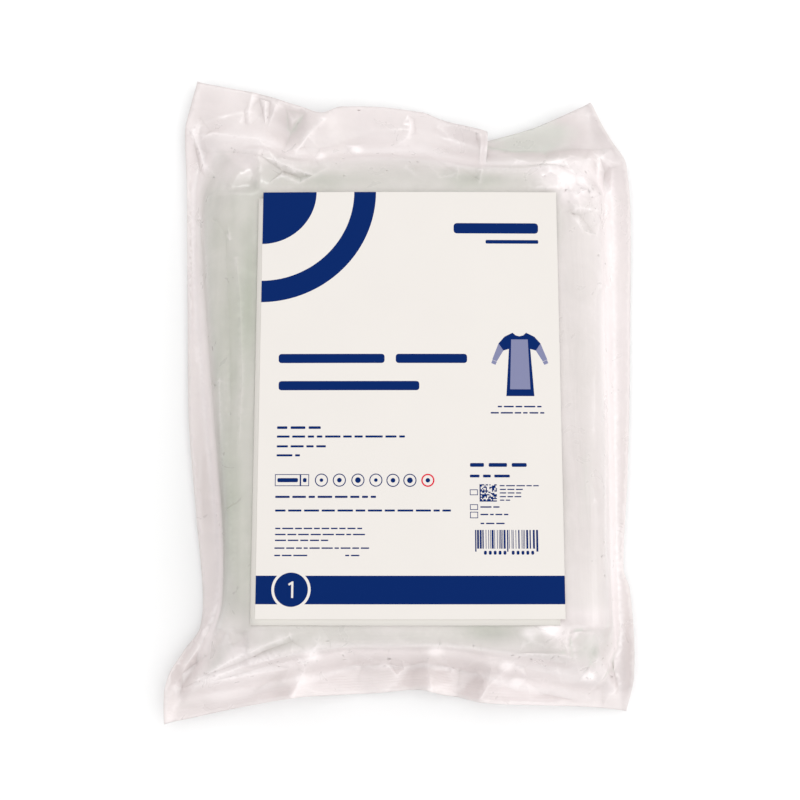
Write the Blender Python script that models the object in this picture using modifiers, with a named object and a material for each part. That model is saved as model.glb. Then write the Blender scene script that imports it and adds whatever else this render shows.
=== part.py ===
"""Packaged surgical gown: a folded, wrapped gown bundle in a sealed film pouch, with a card on its front.

Sizes are in millimetres and turned into metres where a mesh is made. X runs across the pouch, Y runs
from its foot to its head and Z up from the table that it lies on.
"""
import math
from collections import namedtuple

import bmesh
import bpy
import numpy as np

MM = 0.001
COLLECTION_NAME = "PackagedSurgicalGown"

# Walls and clearances
FILM_WALL = 1.0
CARD_WALL = 0.7
SEAM_GAP = 0.3
BUNDLE_CLEARANCE = 0.4

# The bundle's height under the film, at the card's middle, and how it falls towards the head
TOP_HEIGHT = 35.0
TOP_FALL = 0.066
TOP_CROWN = 1.3
TOP_HALF_WIDTH = 88.0

# The card: a printed leaf on a backing leaf that stands out past its left side and its foot
CARD_WIDTH = 148.0
CARD_LENGTH = 212.0
CARD_CENTRE_X = 3.4
CARD_CENTRE_Y = -6.4
BACKING_SHOWS_LEFT = 2.4
BACKING_SHOWS_FOOT = 3.0
CARD_COLUMNS = 8
CARD_ROWS = 11

# The rim where the film has climbed from the welds to the bundle's flat top, how square its corners are,
# and how much of the slope is an even cone there
RIM_LEFT = -74.0
RIM_RIGHT = 79.0
RIM_FOOT = -117.0
RIM_HEAD = 101.0
CORNER_SQUARENESS = 2.3
CORNER_CONE = 0.7
LEAST_SHARE = 1e-9

# The lap in the header, where the left lobe stands over the right flap
LAP_X = 43.8
LAP_HALF_WIDTH = 0.5
LAP_HEIGHT = 6.0
LAP_RUN = 30.0

# The free margins curl up by this power of the way out, and the back web leaves the table at this radius
MARGIN_CURL = 1.5
BACK_RISES_FROM = 0.55

# Where the front web's folds die out: in from the bundle's top, and out in the margin
RIDGE_FADE_IN = 0.25
RIDGE_FADE_OUT = (1.4, 1.9)

# How far past the cut edge a buckle is still worked out, and the least width of its flanks
FAN_RUN_LIMIT = 1.3
FAN_LEAST_FLANK = 0.01

# The bundle: folded layers with a groove between each two, a straight foot and round corners
LAYERS = 6
LAYER_GROOVE = 1.8
LAYER_BULGE = (0.3, 0.7)
BUNDLE_INSET = 2.0
BUNDLE_FOOT_Y = -127.0
BUNDLE_HEAD_Y = 118.5
BUNDLE_CORNER = 14.0
BUNDLE_CORNER_GROWTH = 30.0
BUNDLE_SIDE_CELLS = 8
BUNDLE_END_CELLS = 6
BUNDLE_CORNER_CELLS = 5
BUNDLE_TOP_RINGS = (0.72, 0.42, 0.15)

# Lines of the film webs' grid in each stretch: even ones, and closer ones where the slopes are steep
STEEP_LINES = (0.0, 0.06, 0.13, 0.22, 0.35, 0.55, 0.78)
ACROSS_CELLS = (3, len(STEEP_LINES), 15, 1, 6, len(STEEP_LINES), 3)
ALONG_CELLS = (6, len(STEEP_LINES), 12, len(STEEP_LINES), 6)
UPWARD_SLOPE = 1
DOWNWARD_SLOPE_ACROSS = 5
DOWNWARD_SLOPE_ALONG = 3
GRID_PASSES = 12

Place = namedtuple("Place", "x y")
Lift = namedtuple("Lift", "along z")
Share = namedtuple("Share", "inward height")
Fan = namedtuple("Fan", "apex_x apex_y left_x crest_x right_x edge_y height")
Ridge = namedtuple("Ridge", "from_x from_y to_x to_y half_width height")

# The pouch's cut edges
HEAD_EDGE_LOBE = (
    Place(-108.9, 166.2),
    Place(-75.9, 160.1),
    Place(-56.7, 153.0),
    Place(-42.9, 148.6),
    Place(-32.8, 152.3),
    Place(-17.4, 152.7),
    Place(9.1, 150.8),
    Place(21.3, 145.9),
    Place(43.3, 137.7),
)
HEAD_EDGE_FLAP = (
    Place(44.3, 132.5),
    Place(65.8, 139.9),
    Place(98.8, 153.8),
)
FOOT_EDGE = (
    Place(-118.8, -166.3),
    Place(-105.7, -163.9),
    Place(-75.6, -157.4),
    Place(-49.4, -153.0),
    Place(-19.2, -152.5),
    Place(9.6, -150.0),
    Place(21.2, -153.0),
    Place(45.4, -156.4),
    Place(93.8, -158.9),
    Place(112.6, -160.9),
)
LEFT_EDGE = (
    Place(-118.8, -166.3),
    Place(-119.8, -154.0),
    Place(-117.7, -143.1),
    Place(-110.9, -131.1),
    Place(-103.0, -119.1),
    Place(-102.1, -110.0),
    Place(-105.7, -65.1),
    Place(-111.1, -4.9),
    Place(-113.7, 107.9),
    Place(-115.3, 138.3),
    Place(-108.9, 166.2),
)
RIGHT_EDGE = (
    Place(112.6, -160.9),
    Place(116.5, -143.0),
    Place(116.9, -128.0),
    Place(115.8, -100.6),
    Place(112.9, -90.0),
    Place(115.7, -42.1),
    Place(118.6, 28.0),
    Place(119.8, 95.0),
    Place(117.6, 120.9),
    Place(109.6, 135.5),
    Place(98.8, 153.8),
)

# The lines where the front web leaves the back web and climbs the bundle
LEFT_WELD = (
    Place(-109.5, -147.0),
    Place(-91.5, -105.0),
    Place(-91.2, -91.0),
    Place(-98.8, -3.3),
    Place(-106.6, 92.3),
    Place(-106.0, 133.0),
    Place(-102.0, 166.0),
)
RIGHT_WELD = (
    Place(107.2, -145.0),
    Place(105.8, -78.3),
    Place(105.8, 9.7),
    Place(106.4, 100.4),
    Place(102.0, 122.0),
    Place(90.0, 154.0),
)
FOOT_WELD = (
    Place(-109.5, -147.0),
    Place(-48.0, -134.5),
    Place(-20.0, -130.0),
    Place(17.2, -130.0),
    Place(46.0, -134.5),
    Place(107.2, -145.0),
)
HEAD_WELD = (
    Place(-106.0, 133.0),
    Place(-74.0, 132.0),
    Place(-54.0, 124.0),
    Place(5.0, 126.0),
    Place(40.0, 120.0),
    Place(70.0, 119.5),
    Place(102.0, 122.0),
)

# How high the webs' free margins stand off the table
LEFT_LIFT = (
    Lift(-166.0, 7.0),
    Lift(-148.0, 9.0),
    Lift(-124.0, 4.0),
    Lift(-100.0, 1.5),
    Lift(-50.0, 3.5),
    Lift(20.0, 2.0),
    Lift(80.0, 4.0),
    Lift(125.0, 6.0),
    Lift(166.0, 11.0),
)
RIGHT_LIFT = (
    Lift(-161.0, 4.0),
    Lift(-128.0, 4.5),
    Lift(-90.0, 1.0),
    Lift(-35.0, 2.0),
    Lift(30.0, 1.0),
    Lift(95.0, 2.5),
    Lift(122.0, 5.0),
    Lift(154.0, 4.0),
)
FOOT_LIFT = 3.0
HEAD_LIFT = 4.0

# How the film climbs the bundle's side, as shares of the slope's width and of the bundle's height
SLOPE_SHAPE = (
    Share(0.0, 0.0),
    Share(0.1, 0.42),
    Share(0.2, 0.66),
    Share(0.3, 0.79),
    Share(0.45, 0.89),
    Share(0.7, 0.965),
    Share(1.0, 1.0),
)

# Buckles that fan out from an apex near the weld to the pouch's cut edge
FANS = (
    Fan(-105.0, -140.0, -130.0, -119.0, -98.0, -164.0, 5.0),
    Fan(-43.0, -127.0, -100.0, -57.0, -20.0, -153.0, 9.0),
    Fan(17.0, -129.0, -8.0, 13.0, 27.0, -152.0, 7.0),
    Fan(46.0, -134.0, 24.0, 37.0, 100.0, -157.0, 8.0),
    Fan(-104.0, 132.0, -126.0, -112.0, -81.0, 165.0, 8.0),
    Fan(-54.0, 123.0, -81.0, -50.0, 8.0, 152.0, 10.0),
    Fan(60.0, 119.0, 46.0, 99.0, 124.0, 152.0, 8.0),
)

# Folds that only the front web has, as soft ridges between two points
FRONT_RIDGES = (
    Ridge(-110.0, -150.0, -34.0, -120.0, 9.0, 5.0),
    Ridge(-101.0, -148.0, -84.0, -104.0, 8.0, 3.5),
    Ridge(106.0, -148.0, 62.0, -122.0, 9.0, 4.0),
    Ridge(-110.0, 138.0, -66.0, 118.0, 10.0, 5.0),
    Ridge(58.0, 128.0, 106.0, 100.0, 10.0, 5.0),
    Ridge(-56.0, 129.0, 6.0, 127.0, 11.0, 5.0),
)


def curve_through(stations, values):
    """Returns a smooth curve through the values that never overshoots them."""
    at = np.array(stations, float)
    value = np.array(values, float)
    step = np.diff(at)
    rise = np.diff(value) / step
    product = rise[1:] * rise[:-1]
    total = rise[1:] + rise[:-1]
    inner = np.where(product > 0, 2 * product / np.where(total == 0, 1, total), 0)
    slope = np.concatenate([rise[:1], inner, rise[-1:]])

    def curve(station):
        station = np.clip(station, at[0], at[-1])
        k = np.clip(np.searchsorted(at, station) - 1, 0, len(step) - 1)
        t = (station - at[k]) / step[k]
        from_values = value[k] * (1 + 2 * t) * (1 - t) ** 2 + value[k + 1] * t * t * (3 - 2 * t)
        from_slopes = slope[k] * t * (1 - t) ** 2 + slope[k + 1] * t * t * (t - 1)
        return from_values + from_slopes * step[k]

    return curve


def y_along_x(places):
    return curve_through([p.x for p in places], [p.y for p in places])


def x_along_y(places):
    return curve_through([p.y for p in places], [p.x for p in places])


left_edge, right_edge = x_along_y(LEFT_EDGE), x_along_y(RIGHT_EDGE)
left_weld, right_weld = x_along_y(LEFT_WELD), x_along_y(RIGHT_WELD)
foot_edge, foot_weld, head_weld = y_along_x(FOOT_EDGE), y_along_x(FOOT_WELD), y_along_x(HEAD_WELD)
head_lobe, head_flap = y_along_x(HEAD_EDGE_LOBE), y_along_x(HEAD_EDGE_FLAP)
left_lift = curve_through([row.along for row in LEFT_LIFT], [row.z for row in LEFT_LIFT])
right_lift = curve_through([row.along for row in RIGHT_LIFT], [row.z for row in RIGHT_LIFT])
climb = curve_through([row.inward for row in SLOPE_SHAPE], [row.height for row in SLOPE_SHAPE])
climbed_at = curve_through([row.height for row in SLOPE_SHAPE], [row.inward for row in SLOPE_SHAPE])


def head_edge(x):
    return np.where(x < LAP_X, head_lobe(x), head_flap(x))


def ease(t):
    t = np.clip(t, 0, 1)
    return t * t * (3 - 2 * t)


def slope_shares(x, y):
    """How far beside and beyond the rim a place is: 0 at the rim and 1 at the weld."""
    left = (RIM_LEFT - x) / (RIM_LEFT - left_weld(y))
    right = (x - RIM_RIGHT) / (right_weld(y) - RIM_RIGHT)
    foot = (RIM_FOOT - y) / (RIM_FOOT - foot_weld(x))
    head = (y - RIM_HEAD) / (head_weld(x) - RIM_HEAD)
    return np.maximum(np.maximum(left, right), 0), np.maximum(np.maximum(foot, head), 0)


def slope_radius(x, y):
    """0 on the bundle's flat top, 1 at the weld all round and more outside it, with rounded corners."""
    side, end = slope_shares(x, y)
    return (side ** CORNER_SQUARENESS + end ** CORNER_SQUARENESS) ** (1 / CORNER_SQUARENESS)


def height_share(x, y):
    """How much of the bundle's height the film has climbed, with an evener slope at the corners."""
    side, end = slope_shares(x, y)
    inward = 1 - np.clip(slope_radius(x, y), 0, 1)
    cone = CORNER_CONE * 2 * side * end / np.maximum(side ** 2 + end ** 2, LEAST_SHARE)
    return climb(inward) * (1 - cone) + inward * cone


def top_height(x, y):
    """Height of the front web's inner face over the bundle's top."""
    crown = TOP_CROWN * ((x - CARD_CENTRE_X) / TOP_HALF_WIDTH) ** 2
    return TOP_HEIGHT - TOP_FALL * (y - CARD_CENTRE_Y) - crown


def fan_height(x, y, fan):
    """A buckle with straight flanks, nothing at its apex and full height at the cut edge."""
    run = np.clip((y - fan.apex_y) / (fan.edge_y - fan.apex_y), 0, FAN_RUN_LIMIT)
    left = fan.apex_x + run * (fan.left_x - fan.apex_x)
    crest = fan.apex_x + run * (fan.crest_x - fan.apex_x)
    right = fan.apex_x + run * (fan.right_x - fan.apex_x)
    up = (x - left) / np.maximum(crest - left, FAN_LEAST_FLANK)
    down = (right - x) / np.maximum(right - crest, FAN_LEAST_FLANK)
    return fan.height * np.minimum(run, 1) * np.clip(np.minimum(up, down), 0, 1)


def ridge_height(x, y, ridge):
    """A soft fold between two points that dies out at both."""
    run_x, run_y = ridge.to_x - ridge.from_x, ridge.to_y - ridge.from_y
    length = math.hypot(run_x, run_y)
    along = ((x - ridge.from_x) * run_x + (y - ridge.from_y) * run_y) / length ** 2
    off = np.abs((x - ridge.from_x) * run_y - (y - ridge.from_y) * run_x) / length
    across = ease(1 - off / ridge.half_width)
    return ridge.height * across * ease(4 * along * (1 - along) * ((along > 0) & (along < 1)))


def margin_height(x, y):
    """Height of the face where the two webs meet, outside the bundle."""
    left_out = np.clip((left_weld(y) - x) / (left_weld(y) - left_edge(y)), 0, 1)
    right_out = np.clip((x - right_weld(y)) / (right_edge(y) - right_weld(y)), 0, 1)
    foot_out = np.clip((foot_weld(x) - y) / (foot_weld(x) - foot_edge(x)), 0, 1)
    head_out = np.clip((y - head_weld(x)) / (head_edge(x) - head_weld(x)), 0, 1)
    lift = np.maximum(left_lift(y) * left_out ** MARGIN_CURL, right_lift(y) * right_out ** MARGIN_CURL)
    lift = np.maximum(lift, FOOT_LIFT * ease(foot_out))
    lift = np.maximum(lift, HEAD_LIFT * ease(head_out))
    for fan in FANS:
        lift = lift + fan_height(x, y, fan)
    lap = np.where(x < LAP_X, ease(1 - (LAP_X - x) / LAP_RUN), 0) * ease(head_out)
    return FILM_WALL + lift + LAP_HEIGHT * lap


def front_height(x, y):
    """Height of the front web's inner face."""
    radius = slope_radius(x, y)
    low = margin_height(x, y) + SEAM_GAP
    height = low + height_share(x, y) * (top_height(x, y) - low)
    fade_from, fade_to = RIDGE_FADE_OUT
    inside = ease(radius / RIDGE_FADE_IN) * ease((fade_to - radius) / (fade_to - fade_from))
    for ridge in FRONT_RIDGES:
        height = height + inside * ridge_height(x, y, ridge)
    return height


def back_height(x, y):
    """Height of the back web's inner face: on the table under the bundle, with the margin outside."""
    outside = ease((slope_radius(x, y) - BACK_RISES_FROM) / (1 - BACK_RISES_FROM))
    return FILM_WALL + outside * (margin_height(x, y) - FILM_WALL)


def cell_lines(cells, upward, downward):
    """Splits each stretch between two lines into its cells: the stretch's number and the share in it."""
    lines = [(k, i / count) for k, count in enumerate(cells) for i in range(count)]
    lines.append((len(cells) - 1, 1.0))
    stretch, share = (np.array(column) for column in zip(*lines))
    steep = np.array(STEEP_LINES)
    share[stretch == upward] = steep
    share[stretch == downward] = np.concatenate([[0.0], 1 - steep[:0:-1]])
    return stretch, share


def between(knots, stretch, share):
    return knots[stretch] * (1 - share) + knots[stretch + 1] * share


def across_knots(y):
    lap_left = np.full_like(y, LAP_X - LAP_HALF_WIDTH)
    lap_right = np.full_like(y, LAP_X + LAP_HALF_WIDTH)
    rim_left, rim_right = np.full_like(y, RIM_LEFT), np.full_like(y, RIM_RIGHT)
    return np.array([left_edge(y), left_weld(y), rim_left, lap_left,
                     lap_right, rim_right, right_weld(y), right_edge(y)])


def along_knots(x):
    rim_foot, rim_head = np.full_like(x, RIM_FOOT), np.full_like(x, RIM_HEAD)
    return np.array([foot_edge(x), foot_weld(x), rim_foot, rim_head, head_weld(x), head_edge(x)])


def web_plan():
    """Plan places of a web's grid, whose lines follow the cut edges, the welds and the slopes."""
    across_stretch, across_share = cell_lines(ACROSS_CELLS, UPWARD_SLOPE, DOWNWARD_SLOPE_ACROSS)
    along_stretch, along_share = cell_lines(ALONG_CELLS, UPWARD_SLOPE, DOWNWARD_SLOPE_ALONG)
    columns, rows = len(across_stretch), len(along_stretch)
    x = np.zeros((rows, columns))
    y = np.tile(np.linspace(FOOT_EDGE[0].y, LEFT_EDGE[-1].y, rows)[:, None], columns)
    for _ in range(GRID_PASSES):
        for j in range(columns):
            knots = across_knots(y[:, j])
            x[:, j] = between(knots, across_stretch[j], across_share[j])
        for i in range(rows):
            knots = along_knots(x[i])
            y[i] = between(knots, along_stretch[i], along_share[i])
    return x, y


def sheet_object(name, x, y, z, wall, offset, material):
    """A grid of points as an open surface, given its wall by Solidify; offset 1 is up, -1 is down."""
    rows, columns = x.shape
    bm = bmesh.new()
    verts = [[bm.verts.new((x[i, j] * MM, y[i, j] * MM, z[i, j] * MM)) for j in range(columns)]
             for i in range(rows)]
    for i in range(rows - 1):
        for j in range(columns - 1):
            bm.faces.new((verts[i][j], verts[i][j + 1], verts[i + 1][j + 1], verts[i + 1][j]))
    bmesh.ops.triangulate(bm, faces=bm.faces, quad_method="FIXED")
    obj = finish_object(name, bm, material)
    solidify = obj.modifiers.new("Wall", "SOLIDIFY")
    solidify.thickness = wall * MM
    solidify.offset = offset
    solidify.use_even_offset = True
    return obj


def finish_object(name, bm, material):
    mesh = bpy.data.meshes.new(name)
    bm.to_mesh(mesh)
    bm.free()
    mesh.materials.append(material)
    obj = bpy.data.objects.new(name, mesh)
    part_collection.objects.link(obj)
    mesh.shade_smooth()
    return obj


def make_material(name, colour, roughness, alpha=1.0):
    material = bpy.data.materials.new(name)
    material.use_nodes = True
    shader = material.node_tree.nodes["Principled BSDF"]
    shader.inputs["Base Color"].default_value = (*colour, 1.0)
    shader.inputs["Roughness"].default_value = roughness
    shader.inputs["Metallic"].default_value = 0.0
    shader.inputs["Alpha"].default_value = alpha
    return material


def make_web(name, height, offset, material):
    x, y = web_plan()
    return sheet_object(name, x, y, height(x, y), FILM_WALL, offset, material)


def bundle_outline(inward, groove):
    """The bundle's outline at one height, anticlockwise from its right side's foot."""
    inset = BUNDLE_INSET + groove
    rounding = BUNDLE_CORNER + (1 - inward) * BUNDLE_CORNER_GROWTH
    foot = BUNDLE_FOOT_Y + inset + inward * (RIM_FOOT - BUNDLE_FOOT_Y)
    head = BUNDLE_HEAD_Y - inset - inward * (BUNDLE_HEAD_Y - RIM_HEAD)

    def left(y):
        return left_weld(y) + inset + inward * (RIM_LEFT - left_weld(y))

    def right(y):
        return right_weld(y) - inset - inward * (right_weld(y) - RIM_RIGHT)

    low, high = foot + rounding, head - rounding
    up = np.linspace(low, high, BUNDLE_SIDE_CELLS + 1)
    turn = np.linspace(0, math.pi / 2, BUNDLE_CORNER_CELLS + 1)[1:-1]
    head_run = np.linspace(right(high) - rounding, left(high) + rounding, BUNDLE_END_CELLS + 1)
    foot_run = np.linspace(left(low) + rounding, right(low) - rounding, BUNDLE_END_CELLS + 1)
    x = np.concatenate([
        right(up), right(high) - rounding * (1 - np.cos(turn)), head_run,
        left(high) + rounding * (1 - np.sin(turn)), left(up[::-1]),
        left(low) + rounding * (1 - np.cos(turn)), foot_run,
        right(low) - rounding * (1 - np.sin(turn)),
    ])
    y = np.concatenate([
        up, high + rounding * np.sin(turn), np.full(len(head_run), head),
        high + rounding * np.cos(turn), up[::-1],
        low - rounding * np.sin(turn), np.full(len(foot_run), foot),
        low - rounding * np.cos(turn),
    ])
    return x, y


def bundle_sections():
    """Pairs of height share and groove depth, from the bundle's underside to its top."""
    for layer in range(LAYERS):
        yield layer / LAYERS, LAYER_GROOVE
        for share in LAYER_BULGE:
            yield (layer + share) / LAYERS, 0.0
    yield 1.0, 0.0


def make_bundle():
    """A loft of the bundle's outlines, closed by a flat underside and a crowned top."""
    base = FILM_WALL + SEAM_GAP
    bm = bmesh.new()
    rings = []
    for share, groove in bundle_sections():
        x, y = bundle_outline(climbed_at(share), groove)
        z = base + share * (top_height(x, y) - BUNDLE_CLEARANCE - base)
        rings.append([bm.verts.new((x[i] * MM, y[i] * MM, z[i] * MM)) for i in range(len(x))])
    rim_x, rim_y = x, y
    for scale in BUNDLE_TOP_RINGS:
        x = CARD_CENTRE_X + scale * (rim_x - CARD_CENTRE_X)
        y = CARD_CENTRE_Y + scale * (rim_y - CARD_CENTRE_Y)
        z = top_height(x, y) - BUNDLE_CLEARANCE
        rings.append([bm.verts.new((x[i] * MM, y[i] * MM, z[i] * MM)) for i in range(len(x))])
    for lower, upper in zip(rings, rings[1:]):
        for i, vert in enumerate(lower):
            bm.faces.new((vert, lower[(i + 1) % len(lower)], upper[(i + 1) % len(upper)], upper[i]))
    bm.faces.new(rings[0][::-1])
    bm.faces.new(rings[-1])
    finish_object("gown_bundle", bm, make_material("WrappedGown", (0.56, 0.60, 0.55), 0.9))


def make_leaf(name, left, right, foot, head, lift, material):
    """A leaf of the card, made from the points of the front web's top, moved out."""
    x, y = np.meshgrid(np.linspace(left, right, CARD_COLUMNS + 1), np.linspace(foot, head, CARD_ROWS + 1))
    z = top_height(x, y) + FILM_WALL + lift
    return sheet_object(name, x, y, z, CARD_WALL, 1, material)


def make_card():
    paper = make_material("CardPaper", (0.90, 0.87, 0.83), 0.55)
    backing = make_material("CardBacking", (0.78, 0.76, 0.72), 0.6)
    left, right = CARD_CENTRE_X - CARD_WIDTH / 2, CARD_CENTRE_X + CARD_WIDTH / 2
    foot, head = CARD_CENTRE_Y - CARD_LENGTH / 2, CARD_CENTRE_Y + CARD_LENGTH / 2
    make_leaf("label_backing", left - BACKING_SHOWS_LEFT, right - BACKING_SHOWS_LEFT,
              foot - BACKING_SHOWS_FOOT, head - BACKING_SHOWS_FOOT, SEAM_GAP, backing)
    make_leaf("label_card", left, right, foot, head, SEAM_GAP * 2 + CARD_WALL, paper)


part_collection = bpy.data.collections.new(COLLECTION_NAME)


def main():
    for obj in list(bpy.data.objects):
        bpy.data.objects.remove(obj, do_unlink=True)
    bpy.context.scene.collection.children.link(part_collection)
    film = make_material("PouchFilm", (0.86, 0.80, 0.79), 0.3, 0.6)
    make_web("pouch_back", back_height, -1, film)
    make_web("pouch_front", front_height, 1, film)
    make_bundle()
    make_card()


main()
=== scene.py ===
import math
import random
from collections import namedtuple

import bmesh
import bpy
import numpy as np
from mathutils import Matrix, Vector
from mathutils.bvhtree import BVHTree
from mathutils.geometry import delaunay_2d_cdt
from mathutils.kdtree import KDTree


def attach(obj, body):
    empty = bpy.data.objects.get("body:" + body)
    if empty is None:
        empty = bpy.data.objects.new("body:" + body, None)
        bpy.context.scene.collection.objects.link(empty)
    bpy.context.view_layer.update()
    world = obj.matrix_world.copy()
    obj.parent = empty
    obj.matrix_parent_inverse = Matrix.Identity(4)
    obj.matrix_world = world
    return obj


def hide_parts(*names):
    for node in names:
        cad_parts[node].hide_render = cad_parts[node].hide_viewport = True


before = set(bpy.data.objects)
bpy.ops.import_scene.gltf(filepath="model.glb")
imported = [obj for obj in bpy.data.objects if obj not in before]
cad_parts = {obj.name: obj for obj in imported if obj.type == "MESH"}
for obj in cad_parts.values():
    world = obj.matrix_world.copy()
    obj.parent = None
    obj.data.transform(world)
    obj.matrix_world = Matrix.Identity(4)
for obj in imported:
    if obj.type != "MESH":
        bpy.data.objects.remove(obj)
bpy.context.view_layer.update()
mm = 0.001  # every size below is in millimetres, in the frame's own axes
print("scene: frame loaded")

Place = namedtuple("Place", "x y")
Lift = namedtuple("Lift", "along z")
Share = namedtuple("Share", "inward height")
Fan = namedtuple("Fan", "apexX apexY leftX crestX rightX edgeY height")
Ridge = namedtuple("Ridge", "fromX fromY toX toY halfWidth height")
Spot = namedtuple("Spot", "x y reachX reachY strength")
Crumple = namedtuple("Crumple", "across along lift leastRough seed")
Contact = namedtuple("Contact", "side level until fade")


pouch = {  # as in its solids, with its header a little lower
    "wall": 1.0,
    "seamGap": 0.3,
    "topHeight": 35.0,
    "topFall": 0.066,
    "topCrown": 1.3,
    "topHalfWidth": 88.0,
    "rimLeft": -74.0,  # the rim where the film has climbed to the bundle's flat top
    "rimRight": 79.0,
    "rimFoot": -117.0,
    "rimHead": 101.0,
    "cornerSquareness": 2.3,
    "cornerCone": 0.7,
    "lapX": 43.8,
    "lapHalfWidth": 0.5,
    "lapHeight": 6.0,
    "lapRun": 30.0,
    "sideLiftCurve": 1.5,
    "footLift": 3.0,
    "headLift": 2.0,
    "headEdgeLobe": (
        Place(-108.9, 166.2), Place(-75.9, 160.1), Place(-56.7, 153.0), Place(-42.9, 148.6),
        Place(-32.8, 152.3), Place(-17.4, 152.7), Place(9.1, 150.8), Place(21.3, 145.9),
        Place(43.3, 137.7),
    ),
    "headEdgeFlap": (Place(44.3, 132.5), Place(65.8, 139.9), Place(98.8, 153.8)),
    "footEdge": (
        Place(-118.8, -166.3), Place(-105.7, -163.9), Place(-75.6, -157.4), Place(-49.4, -153.0),
        Place(-19.2, -152.5), Place(9.6, -150.0), Place(21.2, -153.0), Place(45.4, -156.4),
        Place(93.8, -158.9), Place(112.6, -160.9),
    ),
    "leftEdge": (
        Place(-118.8, -166.3), Place(-119.8, -154.0), Place(-117.7, -143.1), Place(-110.9, -131.1),
        Place(-103.0, -119.1), Place(-102.1, -110.0), Place(-105.7, -65.1), Place(-111.1, -4.9),
        Place(-113.7, 107.9), Place(-115.3, 138.3), Place(-108.9, 166.2),
    ),
    "rightEdge": (
        Place(112.6, -160.9), Place(116.5, -143.0), Place(116.9, -128.0), Place(115.8, -100.6),
        Place(112.9, -90.0), Place(115.7, -42.1), Place(118.6, 28.0), Place(119.8, 95.0),
        Place(117.6, 120.9), Place(109.6, 135.5), Place(98.8, 153.8),
    ),
    "leftWeld": (
        Place(-109.5, -147.0), Place(-91.5, -105.0), Place(-91.2, -91.0), Place(-98.8, -3.3),
        Place(-106.6, 92.3), Place(-106.0, 133.0), Place(-102.0, 166.0),
    ),
    "rightWeld": (
        Place(107.2, -145.0), Place(105.8, -78.3), Place(105.8, 9.7), Place(106.4, 100.4),
        Place(102.0, 122.0), Place(90.0, 154.0),
    ),
    "footWeld": (
        Place(-109.5, -147.0), Place(-48.0, -134.5), Place(-20.0, -130.0), Place(17.2, -130.0),
        Place(46.0, -134.5), Place(107.2, -145.0),
    ),
    "headWeld": (
        Place(-106.0, 133.0), Place(-74.0, 132.0), Place(-54.0, 124.0), Place(5.0, 126.0),
        Place(40.0, 120.0), Place(70.0, 119.5), Place(102.0, 122.0),
    ),
    "leftLift": (
        Lift(-166.0, 7.0), Lift(-148.0, 9.0), Lift(-124.0, 4.0), Lift(-100.0, 1.5), Lift(-50.0, 3.5),
        Lift(20.0, 2.0), Lift(80.0, 4.0), Lift(125.0, 4.0), Lift(166.0, 3.0),
    ),
    "rightLift": (
        Lift(-161.0, 4.0), Lift(-128.0, 4.5), Lift(-90.0, 1.0), Lift(-35.0, 2.0), Lift(30.0, 1.0),
        Lift(95.0, 2.5), Lift(122.0, 5.0), Lift(154.0, 4.0),
    ),
    "slopeShape": (
        Share(0.0, 0.0), Share(0.1, 0.42), Share(0.2, 0.66), Share(0.3, 0.79), Share(0.45, 0.89),
        Share(0.7, 0.965), Share(1.0, 1.0),
    ),
    "fanOverrun": 1.3,
    "fans": (  # peaks that spread from the weld to the cut edge
        Fan(-105.0, -140.0, -130.0, -119.0, -98.0, -164.0, 5.0),
        Fan(-43.0, -127.0, -100.0, -57.0, -20.0, -153.0, 9.0),
        Fan(17.0, -129.0, -8.0, 13.0, 27.0, -152.0, 7.0),
        Fan(46.0, -134.0, 24.0, 37.0, 100.0, -157.0, 8.0),
        Fan(-104.0, 132.0, -126.0, -112.0, -81.0, 165.0, 3.0),
        Fan(-54.0, 123.0, -81.0, -50.0, 8.0, 152.0, 7.0),
        Fan(60.0, 119.0, 46.0, 99.0, 124.0, 152.0, 4.0),
    ),
    "ridgesRise": (0.0, 0.25),  # the slope radius over which the ridges come in, and go
    "ridgesEnd": (1.9, 1.4),
    "frontRidges": (  # creases raised over the slopes
        Ridge(-110.0, -150.0, -34.0, -120.0, 9.0, 5.0),
        Ridge(-101.0, -148.0, -84.0, -104.0, 8.0, 3.5),
        Ridge(106.0, -148.0, 62.0, -122.0, 9.0, 4.0),
        Ridge(-110.0, 138.0, -66.0, 118.0, 10.0, 5.0),
        Ridge(58.0, 128.0, 106.0, 100.0, 10.0, 5.0),
        Ridge(-56.0, 129.0, 6.0, 127.0, 11.0, 5.0),
    ),
}

card = {
    "width": 148.0,
    "length": 212.0,
    "centreX": 3.4,
    "centreY": -6.4,
    "leafWall": 0.5,
    "backingShowsLeft": 2.4,
    "backingShowsFoot": 3.0,
    "backingUnder": 1.0,  # how far below the printed leaf's face the backing's face lies
    "faceAboveFilm": 2.0,
    "gridStep": 21.2,
    "mergeWithin": 1e-5,
    "backingGrid": (29, 41),
}


def curveThrough(stations, values):  # smooth, and never past the values
    at = np.array(stations, float)
    value = np.array(values, float)
    step = np.diff(at)
    rise = np.diff(value) / step
    product = rise[1:] * rise[:-1]
    total = rise[1:] + rise[:-1]
    inner = np.where(product > 0, 2 * product / np.where(total == 0, 1, total), 0)
    slope = np.concatenate([rise[:1], inner, rise[-1:]])

    def curve(station):
        station = np.clip(station, at[0], at[-1])
        k = np.clip(np.searchsorted(at, station) - 1, 0, len(step) - 1)
        t = (station - at[k]) / step[k]
        fromValues = value[k] * (1 + 2 * t) * (1 - t) ** 2 + value[k + 1] * t * t * (3 - 2 * t)
        fromSlopes = slope[k] * t * (1 - t) ** 2 + slope[k + 1] * t * t * (t - 1)
        return fromValues + fromSlopes * step[k]

    return curve


def yAlongX(places):
    return curveThrough([p.x for p in places], [p.y for p in places])


def xAlongY(places):
    return curveThrough([p.y for p in places], [p.x for p in places])


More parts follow.
